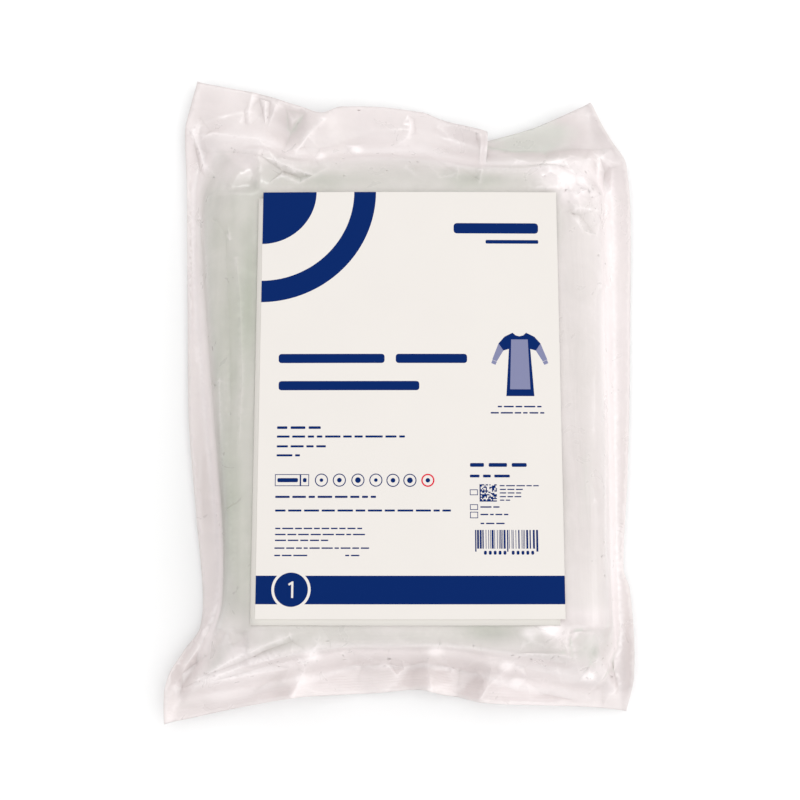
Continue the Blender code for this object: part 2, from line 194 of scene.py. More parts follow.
leftEdge, rightEdge = xAlongY(pouch["leftEdge"]), xAlongY(pouch["rightEdge"])
leftWeld, rightWeld = xAlongY(pouch["leftWeld"]), xAlongY(pouch["rightWeld"])
footEdge, footWeld, headWeld = (yAlongX(pouch[k]) for k in ("footEdge", "footWeld", "headWeld"))
headLobe, headFlap = yAlongX(pouch["headEdgeLobe"]), yAlongX(pouch["headEdgeFlap"])
leftLift = curveThrough([row.along for row in pouch["leftLift"]], [row.z for row in pouch["leftLift"]])
rightLift = curveThrough([row.along for row in pouch["rightLift"]], [row.z for row in pouch["rightLift"]])
inwardShares = [row.inward for row in pouch["slopeShape"]]
heightShares = [row.height for row in pouch["slopeShape"]]
climb, climbedAt = curveThrough(inwardShares, heightShares), curveThrough(heightShares, inwardShares)


def headEdge(x):
    return np.where(x < pouch["lapX"], headLobe(x), headFlap(x))


def ease(t):
    t = np.clip(t, 0, 1)
    return t * t * (3 - 2 * t)


def rising(value, span):  # 0 at the span's first value, 1 at its second
    return ease((value - span[0]) / (span[1] - span[0]))


def slopeShares(x, y):  # beside and beyond the rim: 0 at the rim, 1 at the weld
    left = (pouch["rimLeft"] - x) / (pouch["rimLeft"] - leftWeld(y))
    right = (x - pouch["rimRight"]) / (rightWeld(y) - pouch["rimRight"])
    foot = (pouch["rimFoot"] - y) / (pouch["rimFoot"] - footWeld(x))
    head = (y - pouch["rimHead"]) / (headWeld(x) - pouch["rimHead"])
    return np.maximum(np.maximum(left, right), 0), np.maximum(np.maximum(foot, head), 0)


def slopeRadius(x, y):  # 0 on the bundle's flat top, 1 at the weld, more outside it
    side, end = slopeShares(x, y)
    power = pouch["cornerSquareness"]
    return (side ** power + end ** power) ** (1 / power)


def heightShare(x, y):  # steep beside the welds, and an even cone at the corners
    side, end = slopeShares(x, y)
    inward = 1 - np.clip(slopeRadius(x, y), 0, 1)
    cone = pouch["cornerCone"] * 2 * side * end / np.maximum(side ** 2 + end ** 2, 1e-9)
    return climb(inward) * (1 - cone) + inward * cone


def topHeight(x, y):  # the front film's inner face over the bundle
    crown = pouch["topCrown"] * ((x - card["centreX"]) / pouch["topHalfWidth"]) ** 2
    return pouch["topHeight"] - pouch["topFall"] * (y - card["centreY"]) - crown


def fanHeight(x, y, fan):
    run = np.clip((y - fan.apexY) / (fan.edgeY - fan.apexY), 0, pouch["fanOverrun"])
    left = fan.apexX + run * (fan.leftX - fan.apexX)
    crest = fan.apexX + run * (fan.crestX - fan.apexX)
    right = fan.apexX + run * (fan.rightX - fan.apexX)
    up = (x - left) / np.maximum(crest - left, 0.01)
    down = (right - x) / np.maximum(right - crest, 0.01)
    return fan.height * np.minimum(run, 1) * np.clip(np.minimum(up, down), 0, 1)


def ridgeHeight(x, y, ridge):
    runX, runY = ridge.toX - ridge.fromX, ridge.toY - ridge.fromY
    length = math.hypot(runX, runY)
    along = ((x - ridge.fromX) * runX + (y - ridge.fromY) * runY) / length ** 2
    off = np.abs((x - ridge.fromX) * runY - (y - ridge.fromY) * runX) / length
    across = ease(1 - off / ridge.halfWidth)
    return ridge.height * across * ease(4 * along * (1 - along) * ((along > 0) & (along < 1)))


def outShares(x, y):  # how far out in each margin: 0 at the weld, 1 at the cut edge
    left = np.clip((leftWeld(y) - x) / (leftWeld(y) - leftEdge(y)), 0, 1)
    right = np.clip((x - rightWeld(y)) / (rightEdge(y) - rightWeld(y)), 0, 1)
    foot = np.clip((footWeld(x) - y) / (footWeld(x) - footEdge(x)), 0, 1)
    head = np.clip((y - headWeld(x)) / (headEdge(x) - headWeld(x)), 0, 1)
    return left, right, foot, head


def marginHeight(x, y):  # the face where both films meet, outside the bundle
    left, right, foot, head = outShares(x, y)
    curve = pouch["sideLiftCurve"]
    lift = np.maximum(leftLift(y) * left ** curve, rightLift(y) * right ** curve)
    lift = np.maximum(lift, pouch["footLift"] * ease(foot))
    lift = np.maximum(lift, pouch["headLift"] * ease(head))
    for fan in pouch["fans"]:
        lift = lift + fanHeight(x, y, fan)
    lapX = pouch["lapX"]
    lap = np.where(x < lapX, ease(1 - (lapX - x) / pouch["lapRun"]), 0) * ease(head)
    return pouch["wall"] + lift + pouch["lapHeight"] * lap


def frontHeight(x, y):
    radius = slopeRadius(x, y)
    low = marginHeight(x, y) + pouch["seamGap"]
    height = low + heightShare(x, y) * (topHeight(x, y) - low)
    inside = rising(radius, pouch["ridgesRise"]) * rising(radius, pouch["ridgesEnd"])
    for ridge in pouch["frontRidges"]:
        height = height + inside * ridgeHeight(x, y, ridge)
    return height


folds = {
    # the film's fold lines: points of x, y and how far the film stands out there
    "header pleats": (
        ((-80, 158.5, 1.2), (-82, 151, 1), (-81, 143, 0.2)),
        ((-76.5, 158, -1.2), (-74.5, 150, -0.9), (-73, 143.5, 0)),
        ((-73, 156, 0.9), (-73, 143.5, 0)),
        ((-70.5, 155.5, -0.9), (-71.5, 146, -0.2)),
        ((-67, 153.5, 1), (-71.5, 142, 0)),
        ((-84.5, 151.5, 0.2), (-86, 145, 0.9), (-83.5, 144.5, -0.5)),
    ),
    "header corner": (
        ((-114, 144.5, 0.5), (-111.5, 139, 2.4), (-108.5, 132, 1.5)),
        ((-107.5, 147.5, -0.8), (-102, 139.5, -0.6)),
        ((-108.5, 132, 1.5), (-105, 136.5, 1.6), (-100.5, 137.5, 2), (-85, 134, 2), (-75.5, 132.5, 2.4),
         (-71, 127, 1.8), (-65, 117.5, 1.6), (-56.5, 113, 2.2), (-45.5, 109, 1.8), (-32, 104, 0.6)),
        ((-103.5, 128, -0.8), (-84.5, 124, -1), (-72.5, 120, -1.2), (-61.5, 112, -1), (-52.5, 108.5, -0.6)),
        ((-108.5, 132, 1.5), (-105, 121, 1.2), (-95, 111, 0.4)),
        ((-110, 130, -0.6), (-107.5, 119.5, -0.8), (-103.5, 113.5, -0.4)),
    ),
    "lens": (
        ((-68.5, 105, 0.3), (-62, 109.5, 1.2), (-52.5, 108.5, -0.6)),
        ((-62, 109.5, 1.2), (-52.5, 105, 1), (-37, 103, 0.5)),
    ),
    "lobe": (
        ((-41.5, 145, 2.2), (-50, 136, 3), (-55.5, 127, 2.6), (-56.5, 113, 2.2)),
        ((-52, 148, -0.4), (-59.5, 139, -1.8), (-62, 127.5, -1.4), (-65, 117.5, 1.6)),
        ((-61.5, 150.5, -0.8), (-58, 145, -0.2), (-60.5, 141, -1.6)),
        ((-56.5, 113, 2.2), (-47.5, 115, 1), (-42.5, 113.5, 1.2), (-38.5, 113.5, 1.6), (-36, 117.5, 1.2),
         (-30, 121, 1), (-24, 121.5, 1.2), (-20.5, 121.5, 1.5), (-17.5, 125.5, 1.2), (-11, 127.5, 1),
         (-3.5, 130, 0.8), (2.5, 136, 1.6)),
        ((-52, 129.5, 0.8), (-43.5, 129, 0.6), (-30.5, 131, 0.9), (-19.5, 132, 1)),
        ((-43, 123.5, 1.8), (-38.5, 113.5, 1.6)),
        ((-46, 122, 0), (-43, 123.5, 1.8)),
        ((-25.5, 129, 2), (-20.5, 121.5, 1.5)),
        ((-28.5, 126.5, 0.2), (-25.5, 129, 2)),
        ((-11, 143.5, 0.5), (-0.5, 143.5, 1)),
        ((2.5, 149, 0.4), (4, 143, 2.2), (2.5, 136, 1.6)),
        ((6, 146.5, 0), (6.5, 139.5, 0)),
        ((-32.5, 150, -0.6), (-12, 151, 0.4), (9, 150.5, 0.2), (22.5, 144.5, -0.4)),
    ),
    "slope beside the lap": (
        ((2.5, 130, -0.4), (13, 123.5, -1.2), (23, 114, -1.6), (28, 115.5, 0.2), (36.5, 108.5, -1.4)),
        ((6, 110, 0.4), (19, 108, 0.5), (28, 110.5, 0.2)),
        ((18.5, 142.5, 0.8), (29, 131.5, 1.2), (39, 114.5, 0.6)),
    ),
    "lap": (
        ((37, 137.5, 1.4), (39.5, 128.5, 1.2), (39, 114.5, 0.6)),
        ((40, 136, 2.2), (40.5, 113, 1), (39, 106, 0.2)),
    ),
    "flap": (
        ((90.5, 147.5, 0.6), (98, 147.5, 1.2)),
        ((75.5, 125, -0.4), (83, 129.5, 0.6), (99, 130.5, 0.4), (111, 130.5, -0.4)),
        ((51.5, 131.5, -0.4), (62, 129.5, -1), (75, 129.5, -1.4)),
        ((48, 108.5, 0), (53.5, 114, 1.4), (60, 121.5, 2.4), (66, 119.5, 1.6), (74.5, 119.5, 1.8),
         (81, 121.5, 2.2)),
    ),
    "crumples at the head": (
        ((81, 121.5, 2.2), (84, 121.5, 2.6), (85, 117, 2.2)),
        ((81.5, 117, -0.8), (82, 114.5, -0.8), (88.5, 111, 0.2)),
        ((85, 117, 2.2), (88.5, 124, 2.4), (95.5, 123, 1.6), (104, 125.5, 2.8), (115.5, 121, 0.8)),
        ((66, 104.5, 0.3), (70.5, 108.5, 1.6), (75, 111, 2.2), (78, 109, 1.2), (81.5, 108, 2.2),
         (88.5, 111, 0.2)),
        ((66, 104.5, 0.3), (72.5, 102.5, 1.6), (78, 103, 1.4), (81.5, 100, 0.4), (85, 94.5, 1),
         (90, 92, 1.8), (98.5, 92, 2), (106, 94, 1.6)),
        ((88, 105.5, 0.4), (92.5, 108, 2.4), (94.5, 102.5, 0.6)),
        ((88, 98.5, 1.4), (95.5, 98, 0.2), (101.5, 101, 1.8)),
        ((104, 125.5, 2.8), (103.5, 120, 1.6), (102.5, 111.5, 2), (101.5, 101, 1.8), (106, 94, 1.6)),
        ((107, 118.5, -1), (106, 108, -1.2)),
        ((110.5, 120, 0.8), (110, 108, 1.6), (108.5, 98, 1)),
        ((83, 90.5, -0.8), (90, 88.5, -0.6), (95.5, 82, -1)),
        ((98.5, 92, 2), (101.5, 87.5, 0.8), (98.5, 79, 0.2)),
        ((88.5, 85, 0.8), (91, 80, 0.4)),
    ),
    "left side": (
        ((-108, 92, 0.8), (-104, 91.5, 1.6), (-98, 88.5, 1.2)),
        ((-104, 91.5, 1.6), (-101, 67.5, 1.5), (-99, 36.5, 1.2), (-97, 2, 0.3)),
        ((-106, 89, -0.4), (-103.5, 68, -0.5), (-101, 36.5, -0.4), (-98.5, 4.5, 0)),
        ((-96.5, 4, 0.4), (-91.5, 4, 1.5), (-87, 2.5, 1)),
        ((-91.5, 4, 1.5), (-90.5, -25.5, 1.5), (-91.5, -60, 1.4), (-91, -94.5, 0.2)),
        ((-94, 2, -0.3), (-93, -26, -0.6), (-94, -61, -0.5), (-92.5, -92.5, 0)),
        ((-110, 49, 0.6), (-107.5, 17.5, 1), (-105.5, -19, 0.9), (-102.5, -65, 0.4)),
        ((-84, 66, 1), (-81.5, 44.5, 0.6), (-79.5, 3.5, 1), (-81, -41, 0.3), (-78.5, -84.5, 0.8)),
        ((-90, 79, -0.6), (-86.5, 29.5, -0.8), (-85, -16, -0.5)),
        ((-89, 83.5, 0.2), (-82.5, 88, 1.4), (-74.5, 89.5, 0.2)),
        ((-87.5, 76, 0.6), (-81, 77.5, 0), (-76, 73.5, 1)),
    ),
    "right side": (
        ((99, 52, 0.8), (103.5, 55, 1.5), (108, 55.5, 1)),
        ((103.5, 55, 1.5), (103.5, 21.5, 1.2), (102.5, -20, 1.2), (99.5, -77.5, 0.9)),
        ((101, 50.5, -0.5), (101, 19.5, -0.5), (100.5, -21.5, -0.4), (98, -75, -0.3)),
        ((103, 88.5, -0.8), (104.5, 75, -1.2), (106, 59.5, -0.8)),
        ((108.5, 94, 0.8), (109, 76, 1.2), (109, 59.5, 0.8)),
        ((96.5, 45, 0.9), (96, 14.5, 0.6), (94, -21, 1), (93.5, -55.5, 0.5)),
        ((92.5, 65.5, 0.3), (90.5, 29, 0.9), (90.5, -11, 0.3), (88, -46, 0.9), (89, -65.5, -0.8)),
        ((113.5, 76, 0.8), (114, 33.5, 0.3), (112, -13.5, 0.9), (109.5, -55, 0.5)),
        ((99, -81.5, 0.6), (104.5, -100, 1.4), (106, -115, 1.4), (107.5, -128.5, 1.6), (107, -150.5, 1)),
        ((96.5, -84.5, -0.2), (100, -102, -0.2), (101.5, -116.5, -0.2), (104.5, -127.5, -0.1)),
    ),
    "left foot corner": (
        ((-111.5, -149.5, 0.5), (-112, -142.5, 1), (-109.5, -138, 1.8), (-104, -130.5, 1.8),
         (-96, -117, 1.6), (-93.5, -105.5, 0.6)),
        ((-110.5, -131.5, -0.4), (-105, -120.5, -0.8), (-100, -107, -0.6)),
        ((-118.5, -148.5, 0.4), (-115, -148, 1.6), (-111.5, -149.5, 0.5)),
        ((-118, -156.5, -0.4), (-114, -155, -0.2)),
        ((-111.5, -149.5, 0.5), (-101.5, -144, 1.4), (-83, -132.5, 2.4), (-67, -125, 2.6), (-54, -120, 1.8),
         (-39, -116, 0.3)),
        ((-97.5, -141.5, -0.6), (-79.5, -134, -1), (-64.5, -127, -1.2), (-53, -123, -0.6)),
        ((-106, -146.5, 0.4), (-91.5, -141.5, 1.2), (-79.5, -136.5, 2), (-64.5, -132, 2.2),
         (-53, -129, 1.2), (-45.5, -127.5, 0.2)),
        ((-90, -143, 0), (-77.5, -139.5, -0.6), (-64.5, -135.5, -0.4)),
        ((-111.5, -149.5, 0.5), (-93.5, -144.5, 1), (-76, -141, 1.4), (-56, -138, 1), (-51.5, -138.5, 0)),
        ((-105, -137.5, -1), (-93.5, -129.5, -1.8), (-78.5, -123, -1.4)),
        ((-85.5, -160.5, -1.2), (-74.5, -150.5, -1.6), (-63.5, -143, -0.6)),
    ),
    "foot peaks": (
        ((-63.5, -154.5, 0.6), (-60, -147, 0.4), (-56, -138, 1)),
        ((-40.5, -123.5, 1.2), (-45, -132, 2), (-48, -137.5, 2.4), (-55.5, -152.5, 2)),
        ((-40.5, -123.5, 1.2), (-35.5, -129.5, 1.4), (-29, -137.5, 0.8), (-26, -138, 0)),
        ((-48, -137.5, 2.4), (-39, -137.5, 1.2), (-29, -137.5, 0.8)),
        ((-30, -130, 1.8), (-27, -135, 0.9), (-26, -138, 0)),
        ((-26, -138, 0), (-23, -145.5, -1.2), (-19.5, -152.5, -1.2)),
        ((-26, -138, 0), (-21, -139, -0.6), (-15.5, -135.5, 0.8), (-9, -137.5, 1.4), (-6, -137.5, 0),
         (-0.5, -134.5, 0.8), (7.5, -133, 0.8), (11, -136, -0.2)),
        ((-6, -137.5, 0), (-3, -143, 1.4), (-4.5, -151.5, 2)),
        ((4.5, -138, -0.8), (5.5, -150, -1.6)),
        ((-26.5, -130.5, 0.4), (-22.5, -134, -0.6), (-18.5, -132.5, 0.8), (-12.5, -132.5, -0.4)),
        ((-35, -122.5, 0), (-25, -127, 1), (-6.5, -127, 0.4), (8.5, -131, 0.9), (16.5, -128, 1.8)),
        ((16.5, -128, 1.8), (14, -132.5, 1.4), (12.5, -136.5, 1.2), (14, -149.5, 1.8)),
        ((16.5, -128, 1.8), (20.5, -135, 2), (24, -139, 1.4), (28.5, -141.5, -0.2)),
        ((12.5, -136.5, 1.2), (17.5, -137.5, 0.6), (24, -139, 1.4)),
        ((28.5, -141.5, -0.2), (28, -148, -1.2), (29.5, -154, -1.4)),
        ((28.5, -141.5, -0.2), (32, -138.5, 0.8), (37.5, -136.5, 0.2), (43, -135, 1.2), (46.5, -138, 0),
         (49.5, -134.5, 1)),
        ((44, -139, 0.4), (46.5, -138, 0), (49.5, -140, 1.2)),
        ((51.5, -137, 2.2), (49, -142.5, 1.8), (42.5, -148, 1.8), (38.5, -154, 1.6)),
        ((51.5, -137, 2.2), (56.5, -140.5, 1), (58, -138.5, 1.4), (62.5, -143.5, 0.4)),
        ((55.5, -143.5, 0.2), (58, -146.5, 1.2), (58.5, -149, 0.2)),
    ),
    "right foot corner": (
        ((62.5, -143.5, 0.4), (78.5, -144.5, 0.9), (87, -145.5, 0.6), (92.5, -144.5, 1.2), (97, -146, 0.2)),
        ((87, -145.5, 0.6), (91, -141.5, 2.2), (97, -146, 0.2)),
        ((71.5, -152.5, -0.8), (86.5, -155.5, -0.4)),
        ((100, -147.5, -1.2), (101, -158.5, -1.4)),
        ((107.5, -128.5, 1.6), (103, -136, 1.4), (97, -146, 0.2)),
        ((102, -140.5, -0.8), (106, -143.5, 1), (102.5, -147, -0.4)),
        ((106.5, -135, 0.2), (106.5, -140.5, -0.6)),
    ),
    "foot slope": (
        ((-35, -122.5, 0), (-6.5, -125, -0.8), (17.5, -123, -1.2), (37, -125.5, -1), (56, -128.5, -0.6),
         (76, -128, -0.2)),
        ((27, -127.5, 0.9), (35, -133, 0.9), (32, -138.5, 0.8)),
        ((47.5, -132, 0.9), (56.5, -130, 0.7), (62, -129, 1), (73, -129, 0.4), (83, -131, 0.8)),
        ((56.5, -130, 0.7), (60, -137.5, -0.8), (63, -133, -0.6), (70.5, -138, -0.8), (75.5, -138.5, 0.8),
         (73, -129, 0.4)),
        ((75.5, -138.5, 0.8), (78.5, -134.5, -0.4), (83, -131, 0.8), (87, -142.5, 0), (91.5, -134.5, -0.6)),
        ((57, -125, 0.8), (61.5, -122.5, 1.4), (67.5, -125.5, 0.9)),
        ((65.5, -118, 0.9), (73, -120.5, 1.6), (73.5, -125.5, 0.8)),
        ((76, -116.5, 0.9), (81, -119.5, 1.4), (82, -123, 0.6)),
        ((86.5, -103.5, 0.5), (89, -118, 0.9), (94.5, -126, -0.6), (95, -133.5, 0.6)),
    ),
}
foldLines = [line for group in folds.values() for line in group]

film = {
    "wall": 0.2,
    "seamDrop": 0.1,
    "seamRise": 0.15,
    "topRise": 0.75,
    "leastClear": 0.3,  # how far each film stays off what it lies on, eased in over settling
    "settling": 0.6,
    "giveGrowth": 1.5,
    "marginRelief": (0.75, 1.0),  # the slope radius over which the back film takes on the folds,
    "backRise": (0.55, 1.0),  # rises off the table,
    "contactEnd": (1.15, 0.9),  # and the front film leaves the bundle
    "topGive": 0.3,  # how far it may sink towards the bundle, on its top and on its sides
    "sideGive": 1.6,
    "spacing": 1.8,  # between the film's points in its margins
    "besideSpacing": 1.7,  # on the bundle beside the card
    "steepSpacing": 0.95,  # where it is steep
    "cardSpacing": 14.0,  # under the card
    "steepFrom": 0.62,  # the slope radius where it gets steep, and where the margins start
    "marginFrom": 1.06,
    "latticeReach": Place(122, 168),
    "latticeRow": 0.866,  # between its rows, as a share of the spacing
    "mergeWithin": 1e-4,
    "seed": 4,
    "cardInset": 5.0,
    "edgeClear": 0.6,
    "foldStep": 1.5,
    "creaseStep": 2.0,
    "creaseClear": 0.75,
    "creaseOffEdge": 0.8,
    "creaseOffCard": 0.5,
    "creaseOffLap": 1.5,
    "pointOffLap": 1.2,
    "longestCrumple": 10.0,
    "leastBend": 0.07,  # a facet's edge is a crease where the slope changes by more
    "sharpBend": 0.16,  # and a sharp one past this
    "smoothing": 6,
    "smoothShare": 0.5,
    "creaseEase": 0.35,  # how much the creases themselves are eased at the end
    "spanStart": 0.45,  # beyond this slope radius the film spans straight to the margins
    "spanTop": 0.9,
    "spanTurn": 2.5,
    "spanHead": 1.25,  # how far it spans, as a share of the slope
    "spanFoot": 1.25,
    "spanBeside": 0.72,
    "spanBlend": 100.0,  # the length over which it turns from the foot's span to the head's
    "spanSoftFrom": 0.3,
    "spanSoftRise": 3.0,
    "sealedShut": 0.97,  # how much closer the films lie where they are sealed, and over which part
    "sealedBy": (0.0, 0.5),  # of the margins this comes in
    "besideTurn": 1.5,
    "slopeStep": 0.5,
    "steepFade": 0.3,  # how fast the folds die out where the film is steep
    "jitter": 0.28,
    "lapOver": 1.0,
    "lapUnder": 8.0,
    "lapGrowth": 1.6,
    "lapBend": 1.0,
    "cardFade": 4.0,  # the folds die out over this width beside the card
    "cardPoints": Place(7, 9),  # flat points along the card's sides
    "farCorners": ((-170, -210, 0), (170, -210, 0), (170, 210, 0), (-170, 210, 0)),
    "crumpleReach": Place(126, 174),
    "crumpleStray": 0.42,  # as a share of their spacing
    "crumpleClear": 0.3,
    "crumples": (Crumple(7.0, 6.0, 0.75, 0.2, 3), Crumple(3.4, 3.2, 0.3, 0.75, 8)),
    "rough": (
        Spot(90, 108, 30, 26, 1.0), Spot(-74, 150, 22, 18, 0.3), Spot(-5, 138, 62, 18, 0.15),
        Spot(75, 138, 36, 18, 0.05), Spot(-5, -133, 36, 12, 1.0), Spot(40, -137, 26, 12, 1.0),
        Spot(102, -138, 20, 24, 0.9), Spot(72, -134, 36, 14, 0.7), Spot(-95, 118, 26, 28, 0.35),
        Spot(-95, -128, 32, 26, 0.4), Spot(-60, -152, 60, 14, 0.3), Spot(60, -152, 60, 14, 0.3),
        Spot(0, 112, 90, 12, 0.5), Spot(0, -122, 90, 12, 0.4),
    ),
    "sideCrumples": (Crumple(5.0, 24.0, 0.4, 0.2, 5),),
    "sideRough": (Spot(-98, 0, 28, 150, 0.6), Spot(104, 0, 26, 150, 0.6)),
    "contact": (
        # how much the bundle shows through on each side of the card, and up to which slope radius
        Contact("left", 0.6, 0.75, 0.6), Contact("right", 0.14, 0.5, 0.5), Contact("foot", 0.42, 0.25, 0.6),
        Contact("head", 0.44, 0.3, 0.6),
    ),
    "contactTurn": 10.0,
    "contactSpots": (
        Spot(-76, 50, 9, 60, 0.25), Spot(-84, 30, 12, 60, 0.15), Spot(-88, -55, 12, 60, 0.3),
        Spot(76, -60, 8, 40, 0.15), Spot(76, 84, 8, 26, 0.25), Spot(93, -129, 5, 6, 0.5),
        Spot(42, -118, 22, 9, 0.3), Spot(76, -117, 18, 12, -0.5), Spot(36, 108, 30, 9, 0.25),
        Spot(0, -112, 30, 12, -0.2),
        Spot(84, 110, 26, 20, -0.6), Spot(-40, 106, 40, 7, 0.2), Spot(-88, 116, 24, 20, -0.5),
        Spot(-90, -124, 28, 22, -0.5), Spot(90, -120, 26, 18, -0.3),
    ),
    # painted shade: spots where the film's colour is darkened toward a shaded copy of itself and toward grey,
    # where it lies in shade
    "paintedShade": (
        Spot(70, 137, 46, 20, 1.2), Spot(-57, 143, 20, 18, 0.7), Spot(-80, -160, 44, 9, 0.35),
        Spot(-60, -148, 11, 14, 0.4), Spot(-92, 120, 26, 22, 0.6), Spot(-98, -128, 26, 22, 0.15),
        Spot(30, -140, 20, 12, 0.3), Spot(72, -134, 34, 12, 0.4),
        Spot(104, -105, 12, 40, 0.5), Spot(30, 126, 30, 10, 0.4),
        Spot(40, -152, 10, 12, 0.2), Spot(4, -146, 9, 12, 0.2),
        Spot(-104, 150, 16, 22, 0.4), Spot(-110, -158, 18, 16, 0.5), Spot(100, -135, 26, 32, 0.6),
        Spot(0, 118, 80, 16, 0.3), Spot(88, 0, 22, 170, 0.45), Spot(88, -62, 20, 60, 0.4),
        Spot(84, -122, 24, 18, 0.5),
        Spot(-40, -136, 70, 14, 0.25),
    ),
    # painted highlights: white spots that stand in for glints on the peaks, the lobe and the crumples, and
    # for the bright line down the right side
    "paintedHighlight": (
        Spot(70, -117, 9, 5, 1.2), Spot(60, -119, 6, 4, 0.9), Spot(86, 108, 18, 14, 0.6),
        Spot(80, 119, 8, 5, 0.9), Spot(-43, 122, 5, 5, 0.9), Spot(-24, 127, 5, 4, 0.9),
        Spot(-44, -130, 6, 6, 1.0), Spot(16, -129, 6, 5, 1.0), Spot(51, -137, 5, 5, 0.9),
        Spot(57, -146, 5, 4, 0.9), Spot(91, -142, 5, 4, 1.0), Spot(102, 20, 4, 70, 0.5),
        Spot(60, -150, 22, 8, 0.4), Spot(-52, -146, 10, 8, 0.4),
    ),
    "sealBand": (0.3, 0.5),  # the part of the foot's margin over which the crimped weld starts
    "ring": 0.5,  # how much painted highlight the film gets where it turns at the weld
    "ringAt": 1.04,
    "ringReach": 0.3,
    "ringAtEnds": 0.4,
    "crestStep": 0.3,  # a point this far above its neighbours gets the most painted highlight along its crest
    "crestMost": 0.6,
    # a point below its neighbours gets painted shade in its hollow, up to this much
    "hollowMost": 0.5,
}


def softMax(first, second, blend):
    return 0.5 * (first + second + np.sqrt((first - second) ** 2 + blend ** 2))


def spots(x, y, rows):
    total = np.zeros_like(x)
    for spot in rows:
        off = np.hypot((x - spot.x) / spot.reachX, (y - spot.y) / spot.reachY)
        total += spot.strength * ease(1 - off)
    return total


def cardSides():  # left, right, foot, head
    halfWidth, halfLength = card["width"] / 2, card["length"] / 2
    return (card["centreX"] - halfWidth, card["centreX"] + halfWidth,
            card["centreY"] - halfLength, card["centreY"] + halfLength)


def beyondCard(x, y):  # how far outside the card's outline, less than 0 inside it
    beside = np.abs(x - card["centreX"]) - card["width"] / 2
    beyond = np.abs(y - card["centreY"]) - card["length"] / 2
    return np.maximum(beside, beyond)


def contactShare(x, y):  # 1 where the film lies on the cloth and lets it show, 0 where it stands off
    left, right, foot, head = cardSides()
    beyond = {"left": left - x, "right": x - right, "foot": foot - y, "head": y - head}
    radius = slopeRadius(x, y)
    total = np.zeros_like(x)
    for row in film["contact"]:
        facing = ease((beyond[row.side] - beyondCard(x, y) + film["contactTurn"]) / film["contactTurn"])
        total = np.maximum(total, row.level * facing * ease((row.until + row.fade - radius) / row.fade))
    return np.clip(total + spots(x, y, film["contactSpots"]), 0, 1)


def besideShare(x, y):  # 1 to the left and right of the card, 0 beyond its ends
    side, end = slopeShares(x, y)
    return ease(0.5 + (side - end) * film["besideTurn"])


class Facets:  # a surface of flat facets through points of x, y and lift, with fixed lines
    def __init__(self, points, edges=()):
        cut = delaunay_2d_cdt([(p[0], p[1]) for p in points], edges, [], 0, film["mergeWithin"])
        lifts = [points[owner[0]][2] if owner else 0.0 for owner in cut[3]]
        self.points = np.array([(v[0], v[1], lift) for v, lift in zip(cut[0], lifts)])
        self.edges = [(a, b, bool(owner)) for (a, b), owner in zip(cut[1], cut[4])]
        self.corners = np.array(cut[2])
        self.tree = BVHTree.FromPolygons([(v[0], v[1], 0.0) for v in cut[0]], cut[2])

    def lift(self, x, y):
        found = [self.tree.find_nearest((px, py, 0.0))[2] for px, py in zip(x.tolist(), y.tolist())]
        a, b, c = (self.points[self.corners[found][:, k]] for k in range(3))
        whole = (b[:, 0] - a[:, 0]) * (c[:, 1] - a[:, 1]) - (c[:, 0] - a[:, 0]) * (b[:, 1] - a[:, 1])
        shareB = ((x - a[:, 0]) * (c[:, 1] - a[:, 1]) - (c[:, 0] - a[:, 0]) * (y - a[:, 1])) / whole
        shareC = ((b[:, 0] - a[:, 0]) * (y - a[:, 1]) - (x - a[:, 0]) * (b[:, 1] - a[:, 1])) / whole
        return a[:, 2] + shareB * (b[:, 2] - a[:, 2]) + shareC * (c[:, 2] - a[:, 2])

    def creases(self):  # the fixed lines and the short edges where the surface bends, and by how much
        sides = self.points[self.corners]
        normal = np.cross(sides[:, 1] - sides[:, 0], sides[:, 2] - sides[:, 0])
        tilt = normal[:, :2] / normal[:, 2:]
        beside = {}
        for face, corners in enumerate(self.corners.tolist()):
            for a, b in zip(corners, corners[1:] + corners[:1]):
                beside.setdefault((min(a, b), max(a, b)), []).append(face)
        for a, b, fixed in self.edges:
            both = beside[min(a, b), max(a, b)]
            bend = float(np.hypot(*(tilt[both[0]] - tilt[both[-1]])))
            short = np.hypot(*(self.points[a] - self.points[b])[:2]) < film["longestCrumple"]
            if bend > film["leastBend"] and (fixed or short):
                yield self.points[a], self.points[b], bend


def treeOf(places):
    tree = KDTree(len(places))
    for k, (x, y) in enumerate(places):
        tree.insert((x, y, 0.0), k)
    tree.balance()
    return tree


def steps(start, stop, step):
    return np.linspace(start, stop, max(int(abs(stop - start) / step), 1) + 1)


def alongLine(ax, ay, bx, by, step):  # even points on the line from a to b
    length = math.hypot(bx - ax, by - ay)
    shares = steps(0, length, step) / length
    return [(float(ax + t * (bx - ax)), float(ay + t * (by - ay))) for t in shares]


def inPouch(x, y, inset):
    across = (x > leftEdge(y) + inset) & (x < rightEdge(y) - inset)
    return across & (y > footEdge(x) + inset) & (y < headEdge(x) - inset)


def foldFacets():
    points, edges = list(film["farCorners"]), []
    for line in foldLines:
        edges += [(len(points) + k, len(points) + k + 1) for k in range(len(line) - 1)]
        points += line
    left, right, foot, head = cardSides()
    columns, rows = film["cardPoints"]
    points += [(x, y, 0) for x in np.linspace(left, right, columns) for y in (foot, head)]
    points += [(x, y, 0) for x in (left, right) for y in np.linspace(foot, head, rows)[1:-1]]
    return points, edges


